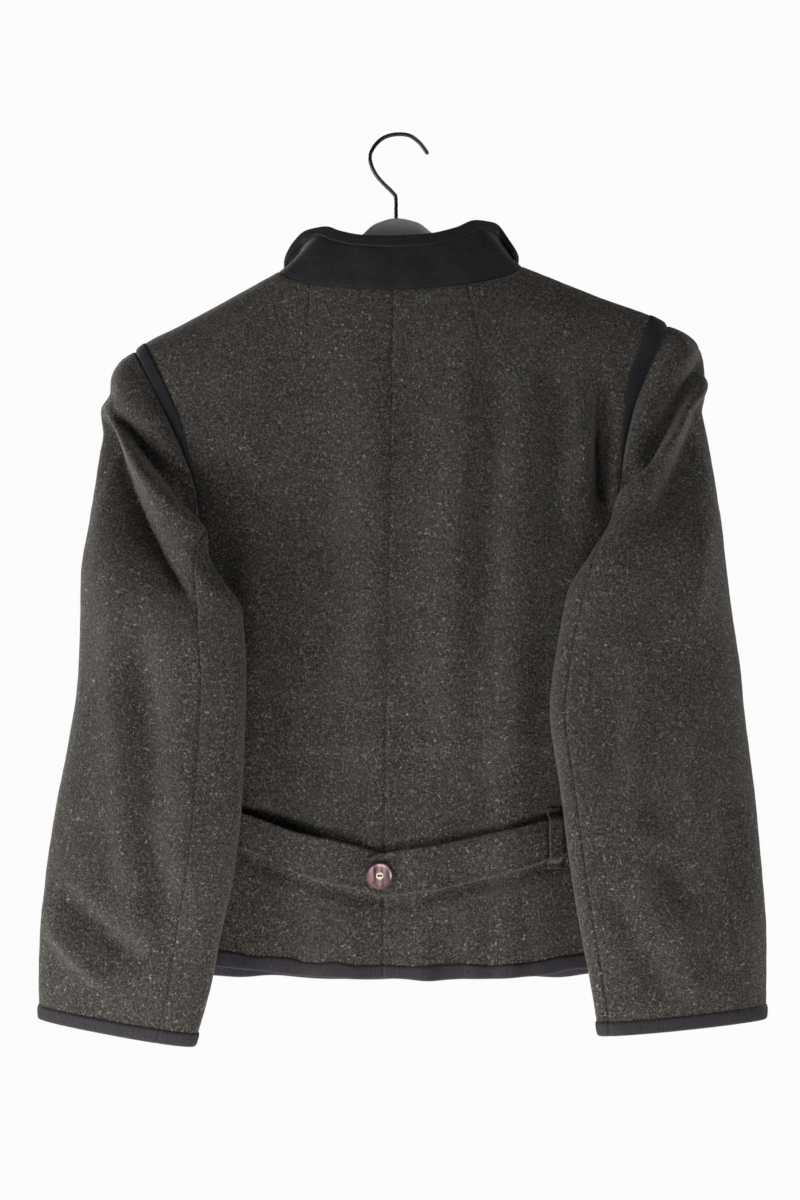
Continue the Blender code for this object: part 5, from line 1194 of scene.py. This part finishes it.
# ---------------------------------------------------------------- collar
BACK_STATIONS = 64
FRONT_STATIONS = 76
COLLAR_ROWS = 30
TUCK = 0.0012             # the collar starts this far inside the neckline seam
FOOT_SINK = 0.0008        # it rolls in this far at that seam
FOOT_ROLL = 0.0020        # over this distance
COLLAR_WAVE = 0.0006      # fine unevenness of the collar
COLLAR_SPACING = 0.05     # and its spacing
COLLAR_MIDDLE = np.array([0.0, 0.02, 0.0])


def neck_line(side):
    """Half of the neckline with its directions, the collar's top edge above it and the stations."""
    turn = lap_turn(side)
    crossing = turn / (1 + turn)
    u = np.linspace(0, NECK_SHARE, BACK_STATIONS + 1)
    p, n = panel(side, BACK, u, np.ones_like(u))
    along = np.linspace(1, crossing, FRONT_STATIONS + 1)[1:]
    rise = FRONT_CORNER + (1 - FRONT_CORNER) * along
    q, m = panel(side, FRONT, np.zeros_like(rise), UNDERARM_SHARE + (1 - UNDERARM_SHARE) * rise)
    station = np.concatenate([u / NECK_SHARE, 2 - (along - crossing) / (1 - crossing)])
    return [np.concatenate([p, q]), np.concatenate([n, m]), collar_top(side, station), station]


def collar_grid():
    """Middle points and directions of the collar, from the left front round to the right."""
    left = [a[:0:-1] for a in neck_line(LEFT)]
    base, base_n, top_edge, stations = (
        np.concatenate(pair) for pair in zip(left, neck_line(RIGHT)))
    for _ in range(6):
        base_n[1:-1] = unit(base_n[:-2] + 2 * base_n[1:-1] + base_n[2:])
        top_edge[1:-1] = (top_edge[:-2] + 2 * top_edge[1:-1] + top_edge[2:]) / 4
    run = unit(np.gradient(base, axis=0))
    joint = unit(unit(np.cross(base_n, run)) + unit(top_edge - base))
    foot = base - joint * TUCK
    rise = np.linspace(0, 1, COLLAR_ROWS + 1)[:, None, None]
    mid = foot + (top_edge - foot) * rise
    outward = mid - COLLAR_MIDDLE
    outward[..., 2] = 0
    across = grid_normal(mid, outward)
    belly = 4 * rise * (1 - rise)
    pinch = np.exp(-((stations[None, :, None] - PINCH_AT) / PINCH_WIDTH) ** 2)
    mid = mid + across * belly * (COLLAR_BULGE - PINCH_DEPTH * pinch)
    mid = mid + across * (ripple(mid, COLLAR_SPACING, 31)[..., None] * COLLAR_WAVE * belly)
    sink = FOOT_SINK * np.exp(-(edge_gap(mid, ["low"]) / FOOT_ROLL) ** 2)
    mid = mid - grid_normal(mid, across) * sink[..., None]
    return mid, grid_normal(mid, across)


collar, collar_n = collar_grid()
cloth_piece("collar_felt", collar, collar_n, CLOTH, "felt", "collar")

# ---------------------------------------------------------------- ribbed tapes
RIB = 0.0018              # spacing of the ribs
RIB_STEPS = 4
RIB_DEPTH = 0.45          # share of the tape's wall that the grooves take
SIDE_POINTS = 4
NOSE_POINTS = 5
TAPE_ROOM = 0.0004        # room between the tape and the cloth
TAPE_THIN = 0.35          # the tape's free edge is this share of its wall
TAPE_SWELL = 0.25         # and its middle this much more than its wall


def ribbed(name, lines, node, closed=False, finish="tape"):
    """A ribbed tape folded over an edge: the ribs run across it, in its own surface.

    lines are the edge's points and directions, and those of the tape's reach on the cloth.
    """
    if closed:
        lines = [np.concatenate([a, a[:1]]) for a in lines]
    run = lengths(lines[0])
    at = np.linspace(0, run[-1], int(round(run[-1] / RIB)) * RIB_STEPS + 1)
    if closed:
        at = at[:-1]
    edge, edge_n, deep, deep_n = (sample(at, run, a) for a in lines)
    edge_n, deep_n = unit(edge_n), unit(deep_n)
    into = unit(deep - edge)
    rib = 0.5 + 0.5 * np.cos(2 * np.pi * np.arange(len(at)) / RIB_STEPS)
    near = CLOTH / 2 + TAPE_ROOM
    far = (near + TAPE * (1 - RIB_DEPTH + RIB_DEPTH * rib))[:, None]
    sides = []
    for sign in (1, -1):
        line = []
        for s in np.linspace(0, 1, SIDE_POINTS + 1)[:-1]:
            way = unit(deep_n + (edge_n - deep_n) * s) * sign
            swell = 1.0 + TAPE_SWELL * math.sin(math.pi * s) if s else TAPE_THIN
            line.append(deep + (edge - deep) * s + way * ((far - near) * swell + near))
        line += [edge + (edge_n * sign * math.sin(t) - into * math.cos(t)) * far
                 for t in np.linspace(math.pi / 2, 0, NOSE_POINTS)]
        sides.append(line)
    inner = [deep - deep_n * near, edge - edge_n * near, edge - into * near, edge + edge_n * near,
             deep + deep_n * near]
    # down the one side, round the fold, up the other side, then along the inside
    rings = np.stack(sides[0] + sides[1][-2::-1] + inner, axis=1)
    faces = tube_faces(*rings.shape[:2], closed)
    piece = mesh_piece(name, rings.reshape(-1, 3), faces, finish, [node])


ribbed("collar_braid", [collar[-1], collar_n[-1], *below(collar, collar_n, TAPE_WIDTH, False)],
       "collar_binding", finish="collar_tape")
for side in (LEFT, RIGHT):
    mid, normal = cuff_rings[side]
    ribbed(f"cuff_braid_{WORDS[side]}", [mid[-1], normal[-1], *below(mid, normal, TAPE_WIDTH, False)],
           f"cuff_binding_{WORDS[side]}", closed=True)

HEM_WAVE = 0.055          # spacing of the waves along the hem's tape
EDGE_WAVE = 0.0012        # how far its fold waves up and down
EDGE_SAG = 0.0008         # how far the fold hangs below the cloth's edge
REACH_WAVE = 0.0013       # how far its upper edge waves
hem = [[], [], [], []]
for side, face, order in ((LEFT, FRONT, 1), (LEFT, BACK, -1), (RIGHT, BACK, 1), (RIGHT, FRONT, -1)):
    mid, normal = panels[side, face]
    for store, values in zip(hem, (mid[0], normal[0], *below(mid, normal, TAPE_WIDTH, True))):
        # points at a panel's edges are left out, except the first at the left front's edge
        store.append(values[:-1] if (side, face) == (LEFT, FRONT) else values[1:-1][::order])
edge, edge_n, deep, deep_n = (np.concatenate(a) for a in hem)
upward = unit(deep - edge)
rise = EDGE_WAVE * np.clip(ripple(edge, HEM_WAVE, 47), -1, 1) - EDGE_SAG
reach = REACH_WAVE * np.clip(ripple(deep, HEM_WAVE / 2, 53), -1, 1)
ribbed("hem_braid", [edge + upward * rise[:, None], edge_n, deep + upward * reach[:, None], deep_n],
       "hem_binding")

# ---------------------------------------------------------------- armhole strips
STRIP_WALL = 0.0012
STRIP_LOW = 0.38          # the strips run down to this share of the rows above the underarm
STRIP_COLS = 7
STRIP_NEAR = 0.0012       # a strip starts this far from the armhole seam
STRIP_ROOM = 0.0003       # room between a strip and the cloth
STRIP_CROWN = 0.0005 * np.array([0.3, 0.85, 1.0, 1.0, 1.0, 0.85, 0.3])[None, :, None]
STRIP_WIDTH = {
    LEFT: table("drop wide", [
        (0.190, 0.0093), (0.2208, 0.0086), (0.2462, 0.0084), (0.2681, 0.0054), (0.2865, 0.0027),
        (0.310, 0.0010)]),
    RIGHT: table("drop wide", [
        (0.168, 0.0160), (0.1920, 0.0140), (0.2174, 0.0122), (0.2428, 0.0068), (0.2630, 0.0040),
        (0.290, 0.0010)])}


def armhole_strip(side):
    """A felt strip beside the armhole, from low on the back over the shoulder to the front."""
    rows, rows_n = [], []
    rise = (PANEL_ROWS - UNDERARM_SHARE) / (1 - UNDERARM_SHARE)
    up = [r for r in range(len(rise)) if rise[r] >= STRIP_LOW]
    for face, picked in ((BACK, up), (FRONT, up[::-1][1:])):
        mid, normal = panels[side, face]
        for r in picked:
            line = mid[r, ::-1]
            width = float(track(-mid[r, -1, 2], STRIP_WIDTH[side]["drop"], STRIP_WIDTH[side]["wide"]))
            at = STRIP_NEAR + width * np.linspace(0, 1, STRIP_COLS)
            rows.append(sample(at, lengths(line), line))
            rows_n.append(unit(sample(at, lengths(line), normal[r, ::-1])))
    rows, rows_n = np.array(rows), np.array(rows_n)
    for _ in range(3):
        rows_n[1:-1] = unit(rows_n[:-2] + 2 * rows_n[1:-1] + rows_n[2:])
        rows[1:-1] = (rows[:-2] + 2 * rows[1:-1] + rows[2:]) / 4
    mid = rows + rows_n * (CLOTH / 2 + STRIP_WALL / 2 + STRIP_ROOM + STRIP_CROWN)
    cloth_piece(f"armhole_strip_{WORDS[side]}", mid, rows_n, STRIP_WALL, "felt",
                f"armhole_trim_{WORDS[side]}")


for side in (LEFT, RIGHT):
    armhole_strip(side)

# ---------------------------------------------------------------- half belt
BELT_THICK = 0.0026
BELT_TIP_X = -0.0313      # the over piece ends in a round tip
BELT_UNDER_X = 0.0040     # the under piece ends here, behind the over piece
BELT_END_X = 0.1950       # both pieces are sewn down here
BELT_ROWS = 14
TIP_LENGTH = 0.0160
OVER_FALL = 0.0350        # past the under piece, the over piece sinks over this length
UNDER_LIFT = 0.0022       # stand-off of the under piece
OVER_LIFT = 0.0060        # and of the over piece, where it lies on the under one
WELT_DEPTH = 0.0008       # a stitched line is pressed in this deep
WELT_IN = 0.0042          # this far from the edge
WELT_WIDTH = 0.0013
BELT_WAVE = 0.0004        # fine unevenness of the belt
BELT_SPACING = 0.045      # and its spacing
TIP_LEAST = 0.06          # the round tip starts at this share of the belt's height
BACK_STEP = 0.0015        # the back's direction is taken over this distance each way
# How far the belt's top and bottom edges stand off the back.
STAND = table("x top bottom", [
    (-0.2000, 0.0000, 0.0000), (-0.1350, 0.0015, 0.0005), (-0.0850, 0.0050, 0.0015),
    (-0.0450, 0.0040, 0.0008), (-0.0153, 0.0005, 0.0000), (0.0200, 0.0018, 0.0008),
    (0.0600, 0.0030, 0.0015), (0.1000, 0.0026, 0.0016), (0.1235, 0.0026, 0.0020),
    (0.1272, 0.0001, 0.0000), (0.1327, 0.0000, 0.0000), (0.2000, 0.0, 0.0)])
# Heights of the edges of the two belt pieces: they cross above the button.
UNDER_EDGES = table("x top bottom", [
    (-0.2000, 0.5755, 0.6015), (-0.1345, 0.5858, 0.6140), (-0.0834, 0.6022, 0.6355),
    (-0.0494, 0.6097, 0.6455), (-0.0153, 0.6194, 0.6515), (0.0400, 0.6340, 0.6450)])
OVER_EDGES = table("x top bottom", [
    (-0.0330, 0.6226, 0.6530), (-0.0153, 0.6199, 0.6542), (0.0017, 0.6174, 0.6530),
    (0.0188, 0.6148, 0.6508), (0.0529, 0.6082, 0.6443), (0.0870, 0.6016, 0.6368),
    (0.1252, 0.5914, 0.6249), (0.1500, 0.5845, 0.6185), (0.2000, 0.5700, 0.6050)])


def crease_point(x, drop):
    """Points of the back's middle surface with its creases."""
    return np.stack([x, back_y(x, -drop) - folds_at(BACK_CREASES, x, -drop), -drop], axis=-1)


def back_surface(x, drop):
    """Points of the back with its creases, and the way out of it."""
    across = crease_point(x + BACK_STEP, drop) - crease_point(x - BACK_STEP, drop)
    up = crease_point(x, drop - BACK_STEP) - crease_point(x, drop + BACK_STEP)
    return crease_point(x, drop), unit(np.cross(across, up))


def belt(name, xs, edges, lift, tall, node):
    """A belt piece over the back: lift is its stand-off and tall the share of its height at xs."""
    s = np.linspace(0, 1, BELT_ROWS + 1)[:, None]
    top = track(xs, edges["x"], edges["top"])
    bottom = track(xs, edges["x"], edges["bottom"])
    half = (bottom - top) / 2 * tall
    drop = (top + bottom) / 2 - half + 2 * half * s
    x = np.broadcast_to(xs, drop.shape)
    p, n = back_surface(x, drop)
    way = unit(n + 2 * np.broadcast_to(n.mean(axis=0), n.shape))
    stand = track(xs, STAND["x"], STAND["top"]) * (1 - s) + track(xs, STAND["x"], STAND["bottom"]) * s
    soft = ripple(np.stack([x, drop, 0 * x], axis=-1), BELT_SPACING, 41) * BELT_WAVE
    edge = np.minimum(s, 1 - s) * 2 * half
    welt = WELT_DEPTH * np.exp(-((edge - WELT_IN) / WELT_WIDTH) ** 2)
    middle = p + way * (CLOTH / 2 + lift + stand + soft)[..., None]
    middle = middle - way * welt[..., None]
    normal = grid_normal(middle, way)
    cloth_piece(name, middle, normal, BELT_THICK, "loden", node)
    return middle, normal


xs = np.linspace(-BELT_END_X, BELT_UNDER_X, 84)
belt("belt_left_cloth", xs, UNDER_EDGES, UNDER_LIFT, 1.0, "belt_left")
tip_xs = BELT_TIP_X + TIP_LENGTH * np.linspace(0, 1, 18) ** 1.6
xs = np.concatenate([tip_xs, np.linspace(tip_xs[-1], BELT_END_X, 160)[1:]])
round_off = np.clip((xs - BELT_TIP_X) / TIP_LENGTH, 0, 1)
tall = np.sqrt(np.clip(1 - (1 - round_off) ** 2, 0, 1)) * (1 - TIP_LEAST) + TIP_LEAST
lift = UNDER_LIFT + (OVER_LIFT - UNDER_LIFT) * (1 - ease((xs - BELT_UNDER_X) / OVER_FALL))
over, over_n = belt("belt_right_cloth", xs, OVER_EDGES, lift, tall, "belt_right")

# Where each loop crosses the belt, and the belt's edges there.
LOOPS = (
    ("left", -0.1450, 0.5842651474106533, 0.6105413902523223),
    ("right", 0.1327, 0.5907340289361854, 0.6228680356700179))
LOOP_WIDTH = 0.0110
LOOP_THICK = 0.0018
LOOP_PAST = 0.0095        # a loop runs this far past the belt's edges
LOOP_ROOM = 0.0004        # room between a loop's ends and the back
LOOP_OVER = 0.0022        # and between a loop and the belt
LOOP_LYING = CLOTH / 2 + LOOP_ROOM + LOOP_THICK / 2
LOOP_CROSSING = CLOTH / 2 + UNDER_LIFT + BELT_THICK + LOOP_OVER + LOOP_THICK / 2
LOOP_BEND = LOOP_CROSSING * 0.8
for word, x, top, bottom in LOOPS:
    route = table("drop lift", [
        (top - LOOP_PAST, LOOP_LYING), (top - 0.0050, LOOP_LYING), (top - 0.0020, LOOP_BEND),
        (top + 0.0010, LOOP_CROSSING), ((top + bottom) / 2, LOOP_CROSSING),
        (bottom - 0.0010, LOOP_CROSSING), (bottom + 0.0020, LOOP_BEND),
        (bottom + 0.0050, LOOP_LYING), (bottom + LOOP_PAST, LOOP_LYING)])
    drop, across = np.broadcast_arrays(
        np.linspace(top - LOOP_PAST, bottom + LOOP_PAST, 60)[:, None],
        x + np.linspace(-0.5, 0.5, 7)[None, :] * LOOP_WIDTH)
    p, n = back_surface(across, drop)
    middle = p + n * track(drop, route["drop"], route["lift"])[..., None]
    cloth_piece(f"belt_loop_{word}_cloth", middle, grid_normal(middle, n), LOOP_THICK, "loden",
                f"belt_loop_{word}")

# ---------------------------------------------------------------- buttons
BUTTON_RADIUS = 0.0113
BUTTON_THICK = 0.0040
# Profiles, as shares of the radius and of the thickness.
BUTTON_RING = [
    (0.000, 0.00), (0.780, 0.00), (0.900, 0.10), (0.970, 0.28), (1.000, 0.55), (0.985, 0.80),
    (0.950, 0.95), (0.900, 1.00), (0.850, 0.96), (0.800, 0.82), (0.740, 0.74), (0.660, 0.71),
    (0.300, 0.70), (0.000, 0.70)]
PITH_RING = [(0, 0.71), (0.97, 0.71), (1.0, 0.76), (0.92, 0.82), (0.5, 0.80), (0, 0.79)]
RIM_FROM = 0.88           # the dark rim starts at this share of the radius
PITH_RADIUS = 0.0031
HOLE_X = 0.0013           # each hole's distance from the middle
HOLE_RADIUS = 0.0009
THREAD_WIDE = 0.0007      # half width of the thread's bar
THREAD_THICK = 0.0005     # and half its thickness
THREAD_STEPS = 12
THREAD_SIDES = 10
BELT_BUTTON = (-0.0153, 0.6375)
BUTTON_ROOM = 0.0003      # room between the belt and its button
FRONT_BUTTON_ROOM = 0.0004
FRONT_BUTTONS = (0.2200, 0.3200, 0.4200, 0.5200, 0.6200)


def lathe(profile, sides, radius, height):
    """A turned solid about Z from a profile of radius and height shares."""
    turns = 2 * np.pi * np.arange(sides) / sides
    verts, faces = [], []
    for r, h in profile:
        if r == 0:
            verts.append([(0, 0, h * height)])
        else:
            verts.append([(r * radius * math.cos(t), r * radius * math.sin(t), h * height) for t in turns])
    start = np.cumsum([0] + [len(v) for v in verts])
    for i in range(len(verts) - 1):
        a, b = start[i], start[i + 1]
        for k in range(sides):
            j = (k + 1) % sides
            if len(verts[i]) == 1:
                faces.append((a, b + k, b + j))
            elif len(verts[i + 1]) == 1:
                faces.append((a + k, a + j, b))
            else:
                faces.append((a + k, a + j, b + j, b + k))
    return np.array([p for ring in verts for p in ring]), faces


def drilled(verts, faces):
    """Mesh data of a small turned solid with the button's two holes cut through it."""
    mesh = bpy.data.meshes.new("blank")
    mesh.from_pydata(np.asarray(verts).tolist(), [], faces)
    blank = add_object("blank", mesh)
    drill_mesh = bpy.data.meshes.new("drill")
    work = bmesh.new()
    for x in (-HOLE_X, HOLE_X):
        bmesh.ops.create_cone(work, cap_ends=True, segments=20, radius1=HOLE_RADIUS, radius2=HOLE_RADIUS,
                              depth=0.02, matrix=Matrix.Translation((x, 0.0, 0.0)))
    work.to_mesh(drill_mesh)
    work.free()
    drill = add_object("drill", drill_mesh)
    cut = blank.modifiers.new("holes", "BOOLEAN")
    cut.operation = "DIFFERENCE"
    cut.solver = "EXACT"
    cut.object = drill
    graph = bpy.context.evaluated_depsgraph_get()
    graph.update()
    result = bpy.data.meshes.new_from_object(blank.evaluated_get(graph))
    points = np.array([v.co[:] for v in result.vertices])
    polygons = [tuple(p.vertices) for p in result.polygons]
    for thing in (blank, drill):
        bpy.data.objects.remove(thing)
    return points, polygons


def thread_bar():
    """Points of the bar of thread that bows from the one hole to the other."""
    bar = []
    for i in range(THREAD_STEPS + 1):
        t = math.pi * i / THREAD_STEPS
        x = -HOLE_X * math.cos(t)
        z = BUTTON_THICK * 0.55 + HOLE_X * math.sin(t)
        for k in range(THREAD_SIDES):
            a = 2 * math.pi * k / THREAD_SIDES
            off = THREAD_THICK * math.cos(a)
            bar.append((x - off * math.cos(t), THREAD_WIDE * math.sin(a), z + off * math.sin(t)))
    return bar


horn_blank = drilled(*lathe(BUTTON_RING, 64, BUTTON_RADIUS, BUTTON_THICK))
pith_blank = drilled(*lathe(PITH_RING, 40, PITH_RADIUS, BUTTON_THICK))


def button(name, seat, way):
    """A button in three pieces: horn body with a dark rim, pale centre, thread in its holes."""
    turn = Vector(way).to_track_quat("Z", "Y").to_matrix().to_4x4()
    place = Matrix.Translation(Vector(seat)) @ turn

    def placed(points):
        return np.array([(place @ Vector(p))[:] for p in points])

    body = mesh_piece(f"{name}_horn", placed(horn_blank[0]), horn_blank[1], "horn", [name])
    body.data.materials.append(MATERIALS["rim"])
    back_to_flat = place.inverted()
    for polygon in body.data.polygons:
        local = back_to_flat @ Vector(polygon.center)
        if math.hypot(local.x, local.y) > RIM_FROM * BUTTON_RADIUS:
            polygon.material_index = 1
    centre = mesh_piece(f"{name}_centre", placed(pith_blank[0]), pith_blank[1], "pith")
    for piece in (body, centre):
        piece.data.set_sharp_from_angle(angle=math.radians(40))
    bar_faces = tube_faces(THREAD_STEPS + 1, THREAD_SIDES)
    mesh_piece(f"{name}_thread", placed(thread_bar()), bar_faces, "thread")


p, n = back_surface(np.array([BELT_BUTTON[0]]), np.array([BELT_BUTTON[1]]))
button("belt_button", p[0] + n[0] * (CLOTH / 2 + OVER_LIFT + BELT_THICK / 2 + BUTTON_ROOM), n[0])
mid, normal = panels[RIGHT, FRONT]
for k, drop in enumerate(FRONT_BUTTONS, start=1):
    near = np.argmin((mid[..., 0] - float(level("seam", drop))) ** 2 + (mid[..., 2] + drop) ** 2)
    point, way = mid.reshape(-1, 3)[near], normal.reshape(-1, 3)[near]
    button(f"front_button_{k}", point + way * (CLOTH / 2 + FRONT_BUTTON_ROOM), way)

# ---------------------------------------------------------------- hanger and hook
HANGER = table(
    "x       top     tall    thick", [
    (-0.2150, 0.1863, 0.0090, 0.0060),
    (-0.2120, 0.1818, 0.0150, 0.0080),
    (-0.1600, 0.1521, 0.0200, 0.0100),
    (-0.1027, 0.1208, 0.0240, 0.0110),
    (-0.0600, 0.0995, 0.0260, 0.0130),
    (-0.0348, 0.0884, 0.0300, 0.0130),
    (-0.0200, 0.0762, 0.0380, 0.0130),
    (-0.0017, 0.0712, 0.0420, 0.0130),
    (0.0165, 0.0747, 0.0380, 0.0130),
    (0.0313, 0.0849, 0.0300, 0.0130),
    (0.0600, 0.0965, 0.0260, 0.0130),
    (0.1070, 0.1166, 0.0240, 0.0110),
    (0.1600, 0.1376, 0.0200, 0.0100),
    (0.2120, 0.1590, 0.0150, 0.0080),
    (0.2150, 0.1634, 0.0090, 0.0060)])
HANGER_SIDES = 28
HANGER_SQUARE = 0.8       # power that squares off the bar's section
HANGER_ROOM = 0.0028      # the bar lies this much lower under the shoulders' cloth and seams
ROOM_FROM = 0.045         # from here out
ROOM_OVER = 0.03
xs = np.concatenate([np.linspace(-0.215, -0.036, 50), np.linspace(-0.034, 0.031, 60),
                     np.linspace(0.033, 0.215, 50)])
top, tall, thick = (track(xs, HANGER["x"], HANGER[k])[:, None] for k in ("top", "tall", "thick"))
top = top + HANGER_ROOM * ease((np.abs(xs[:, None]) - ROOM_FROM) / ROOM_OVER)
turn = 2 * np.pi * (np.arange(HANGER_SIDES) + 0.5) / HANGER_SIDES
c, s = signed_power(np.cos(turn), HANGER_SQUARE), signed_power(np.sin(turn), HANGER_SQUARE)
rings = np.stack([xs[:, None] + 0 * c, thick / 2 * c, -top - tall / 2 * (1 - s)], axis=-1)
mesh_piece("hanger_piece", rings.reshape(-1, 3), tube_faces(*rings.shape[:2]), "hanger", ["hanger_body"])

WIRE_RADIUS = 0.00175
WIRE_SIDES = 16
HOOK_STEPS = 180
HOOK = table("x z", [
    (0.0262, -0.0155), (0.0177, -0.0045), (0.0110, 0.0003), (0.0003, 0.0019), (-0.0123, -0.0011),
    (-0.0205, -0.0086), (-0.0243, -0.0170), (-0.0231, -0.0253), (-0.0189, -0.0336),
    (-0.0123, -0.0412), (-0.0056, -0.0478), (-0.0023, -0.0519), (-0.0017, -0.0569),
    (-0.0017, -0.0640), (-0.0017, -0.0862)])
path = through(np.stack([HOOK["x"], HOOK["z"]], axis=1), HOOK_STEPS)
way = unit(np.gradient(path, axis=0))
turn = 2 * np.pi * np.arange(WIRE_SIDES) / WIRE_SIDES
radius = np.full((HOOK_STEPS, 1), WIRE_RADIUS)
radius[:3, 0] *= (0.45, 0.82, 0.96)
rings = np.stack([path[:, :1] - way[:, 1:] * radius * np.cos(turn), radius * np.sin(turn),
                  path[:, 1:] + way[:, :1] * radius * np.cos(turn)], axis=-1)
mesh_piece("hook_piece", rings.reshape(-1, 3), tube_faces(*rings.shape[:2]), "wire", ["hanger_hook"])

# ---------------------------------------------------------------- stitches
STITCH = 0.0026           # length of a stitch
STITCH_GAP = 0.0012       # and of the gap to the next
STITCH_RADIUS = 0.00022
STITCH_SIDES = 5
# One stitch: share of its length, height off the cloth and thickness, both in radii.
STITCH_SHAPE = table("share height thick", [
    (0.00, -0.6, 0.35), (0.12, 0.45, 1), (0.50, 0.80, 1), (0.88, 0.45, 1), (1.00, -0.6, 0.35)])


def stitches(name, points, normals):
    """A row of sewn stitches along a line of points: each a short bent thread."""
    run = lengths(points)
    starts = np.arange(0, run[-1] - STITCH, STITCH + STITCH_GAP)
    at = starts[:, None] + STITCH_SHAPE["share"][None, :] * STITCH
    p = sample(at, run, points)
    n = unit(sample(at, run, normals))
    beside = unit(np.cross(unit(np.gradient(p, axis=1)), n))[:, :, None]
    p = p + n * (STITCH_SHAPE["height"] * STITCH_RADIUS)[None, :, None]
    a = (2 * np.pi * np.arange(STITCH_SIDES) / STITCH_SIDES)[None, None, :, None]
    thick = (STITCH_SHAPE["thick"] * STITCH_RADIUS)[None, :, None, None]
    rings = p[:, :, None] + (beside * np.cos(a) + n[:, :, None] * np.sin(a)) * thick
    one = tube_faces(*rings.shape[1:3])
    size = rings.shape[1] * rings.shape[2]
    faces = [tuple(k * size + i for i in f) for k in range(len(starts)) for f in one]
    mesh_piece(name, rings.reshape(-1, 3), faces, "thread")


TAPE_STITCH_IN = 0.0012   # the stitches on the collar's tape lie this far in from its lower edge
TAPE_STITCH_UP = 0.95     # at this share of the tape's wall
COLLAR_STITCH_UP = 0.0060
line, line_n = below(collar, collar_n, TAPE_WIDTH - TAPE_STITCH_IN, False)
lifted = line + line_n * (CLOTH / 2 + TAPE_ROOM + TAPE * TAPE_STITCH_UP)
stitches("collar_braid_stitches", lifted, line_n)
line, line_n = below(collar, collar_n, COLLAR_STITCH_UP, True)
stitches("collar_seam_stitches", line + line_n * CLOTH / 2, line_n)
for name, row in (("belt_top_stitches", 1), ("belt_bottom_stitches", -2)):
    stitches(name, over[row, 4:] + over_n[row, 4:] * BELT_THICK / 2, over_n[row, 4:])

# ---------------------------------------------------------------- stage, light and camera
FLOOR_RADIUS = 1.75
FLOOR_Z = -1.38
FLOOR_PALE = (0.50, 0.498, 0.495)
FLOOR_GLOW = 0.80         # the floor glows a little, as a lit white sweep does
ROOM_LIGHT = 0.05         # how strongly the white room lights the jacket
ROOM_SHOWN = 0.97         # and how bright it looks behind it


def pale_floor():
    """A round pale floor, which is no part of the jacket."""
    material, tree, shader = node_material("pale_floor", {
        "Roughness": 0.95, "Specular IOR Level": 0.1, "Emission Color": (1.0, 1.0, 1.0, 1),
        "Emission Strength": FLOOR_GLOW})
    speckle = noise(tree, place_of(tree), 3.0, 3.0)
    darker = tuple(c * 0.97 for c in FLOOR_PALE)
    tree.links.new(mix(tree, speckle, FLOOR_PALE, darker), shader.inputs["Base Color"])
    mesh = bpy.data.meshes.new("floor")
    work = bmesh.new()
    bmesh.ops.create_circle(work, cap_ends=True, segments=96, radius=FLOOR_RADIUS,
                            matrix=Matrix.Translation((0, 0, FLOOR_Z)))
    work.to_mesh(mesh)
    work.free()
    mesh.materials.append(material)
    add_object("floor", mesh)


def white_room():
    """A white room: it shows white behind the jacket and lights it softly from all round."""
    world = bpy.data.worlds.new("studio")
    bpy.context.scene.world = world
    world.use_nodes = True
    tree = world.node_tree
    background = tree.nodes["Background"]
    background.inputs[0].default_value = (1.0, 1.0, 1.0, 1)
    strength = add_node(tree, "MapRange")
    tree.links.new(add_node(tree, "LightPath").outputs["Is Camera Ray"], strength.inputs["Value"])
    strength.inputs["To Min"].default_value = ROOM_LIGHT
    strength.inputs["To Max"].default_value = ROOM_SHOWN
    tree.links.new(strength.outputs["Result"], background.inputs[1])
    bpy.context.scene.view_settings.view_transform = "Standard"


def area_light(name, place, aim, size, power):
    """A soft square light aimed at a point."""
    lamp = bpy.data.lights.new(name, "AREA")
    lamp.size = size
    lamp.energy = power
    thing = add_object(name, lamp)
    thing.location = place
    thing.visible_camera = False
    thing.rotation_euler = (Vector(aim) - Vector(place)).to_track_quat("-Z", "Y").to_euler()


pale_floor()
white_room()
# name, place, aim, size, power
for light in (
        ("key", (-1.95, -1.00, -1.00), (0, 0, -0.6), 1.2, 54),
        ("top", (1.2, -0.6, 1.7), (0.12, 0, -0.2), 0.8, 22),
        ("fill", (0.9, -1.0, -1.25), (0.2, 0, -0.95), 0.5, 4),
        ("low", (-0.15, -0.70, -1.33), (0.02, 0, -0.85), 0.4, 8.5),
        ("rim_left", (-2.1, 1.0, -0.3), (0, 0, -0.5), 0.9, 20),
        ("rim_right", (2.1, 0.9, -0.2), (0, 0, -0.5), 0.9, 26),
        ("front", (-1.5, 1.8, 0.6), (0, 0, -0.4), 0.8, 50),
        ("front_fill", (0.7, 2.2, 0.0), (0, 0, -0.4), 0.8, 24)):
    area_light(*light)

CAMERA_FAR = 2.6
CAMERA_X = 0.00174
CAMERA_Z = -0.4033
VIEW_HEIGHT = 1.044       # height of what the camera takes in, at the jacket
SENSOR = 36
view = bpy.data.cameras.new("view")
view.sensor_fit = "VERTICAL"
view.sensor_height = SENSOR
view.lens = SENSOR / VIEW_HEIGHT * CAMERA_FAR
camera = add_object("view", view)
camera.location = (CAMERA_X, -CAMERA_FAR, CAMERA_Z)
camera.rotation_euler = (math.radians(90), 0, 0)
bpy.context.scene.camera = camera
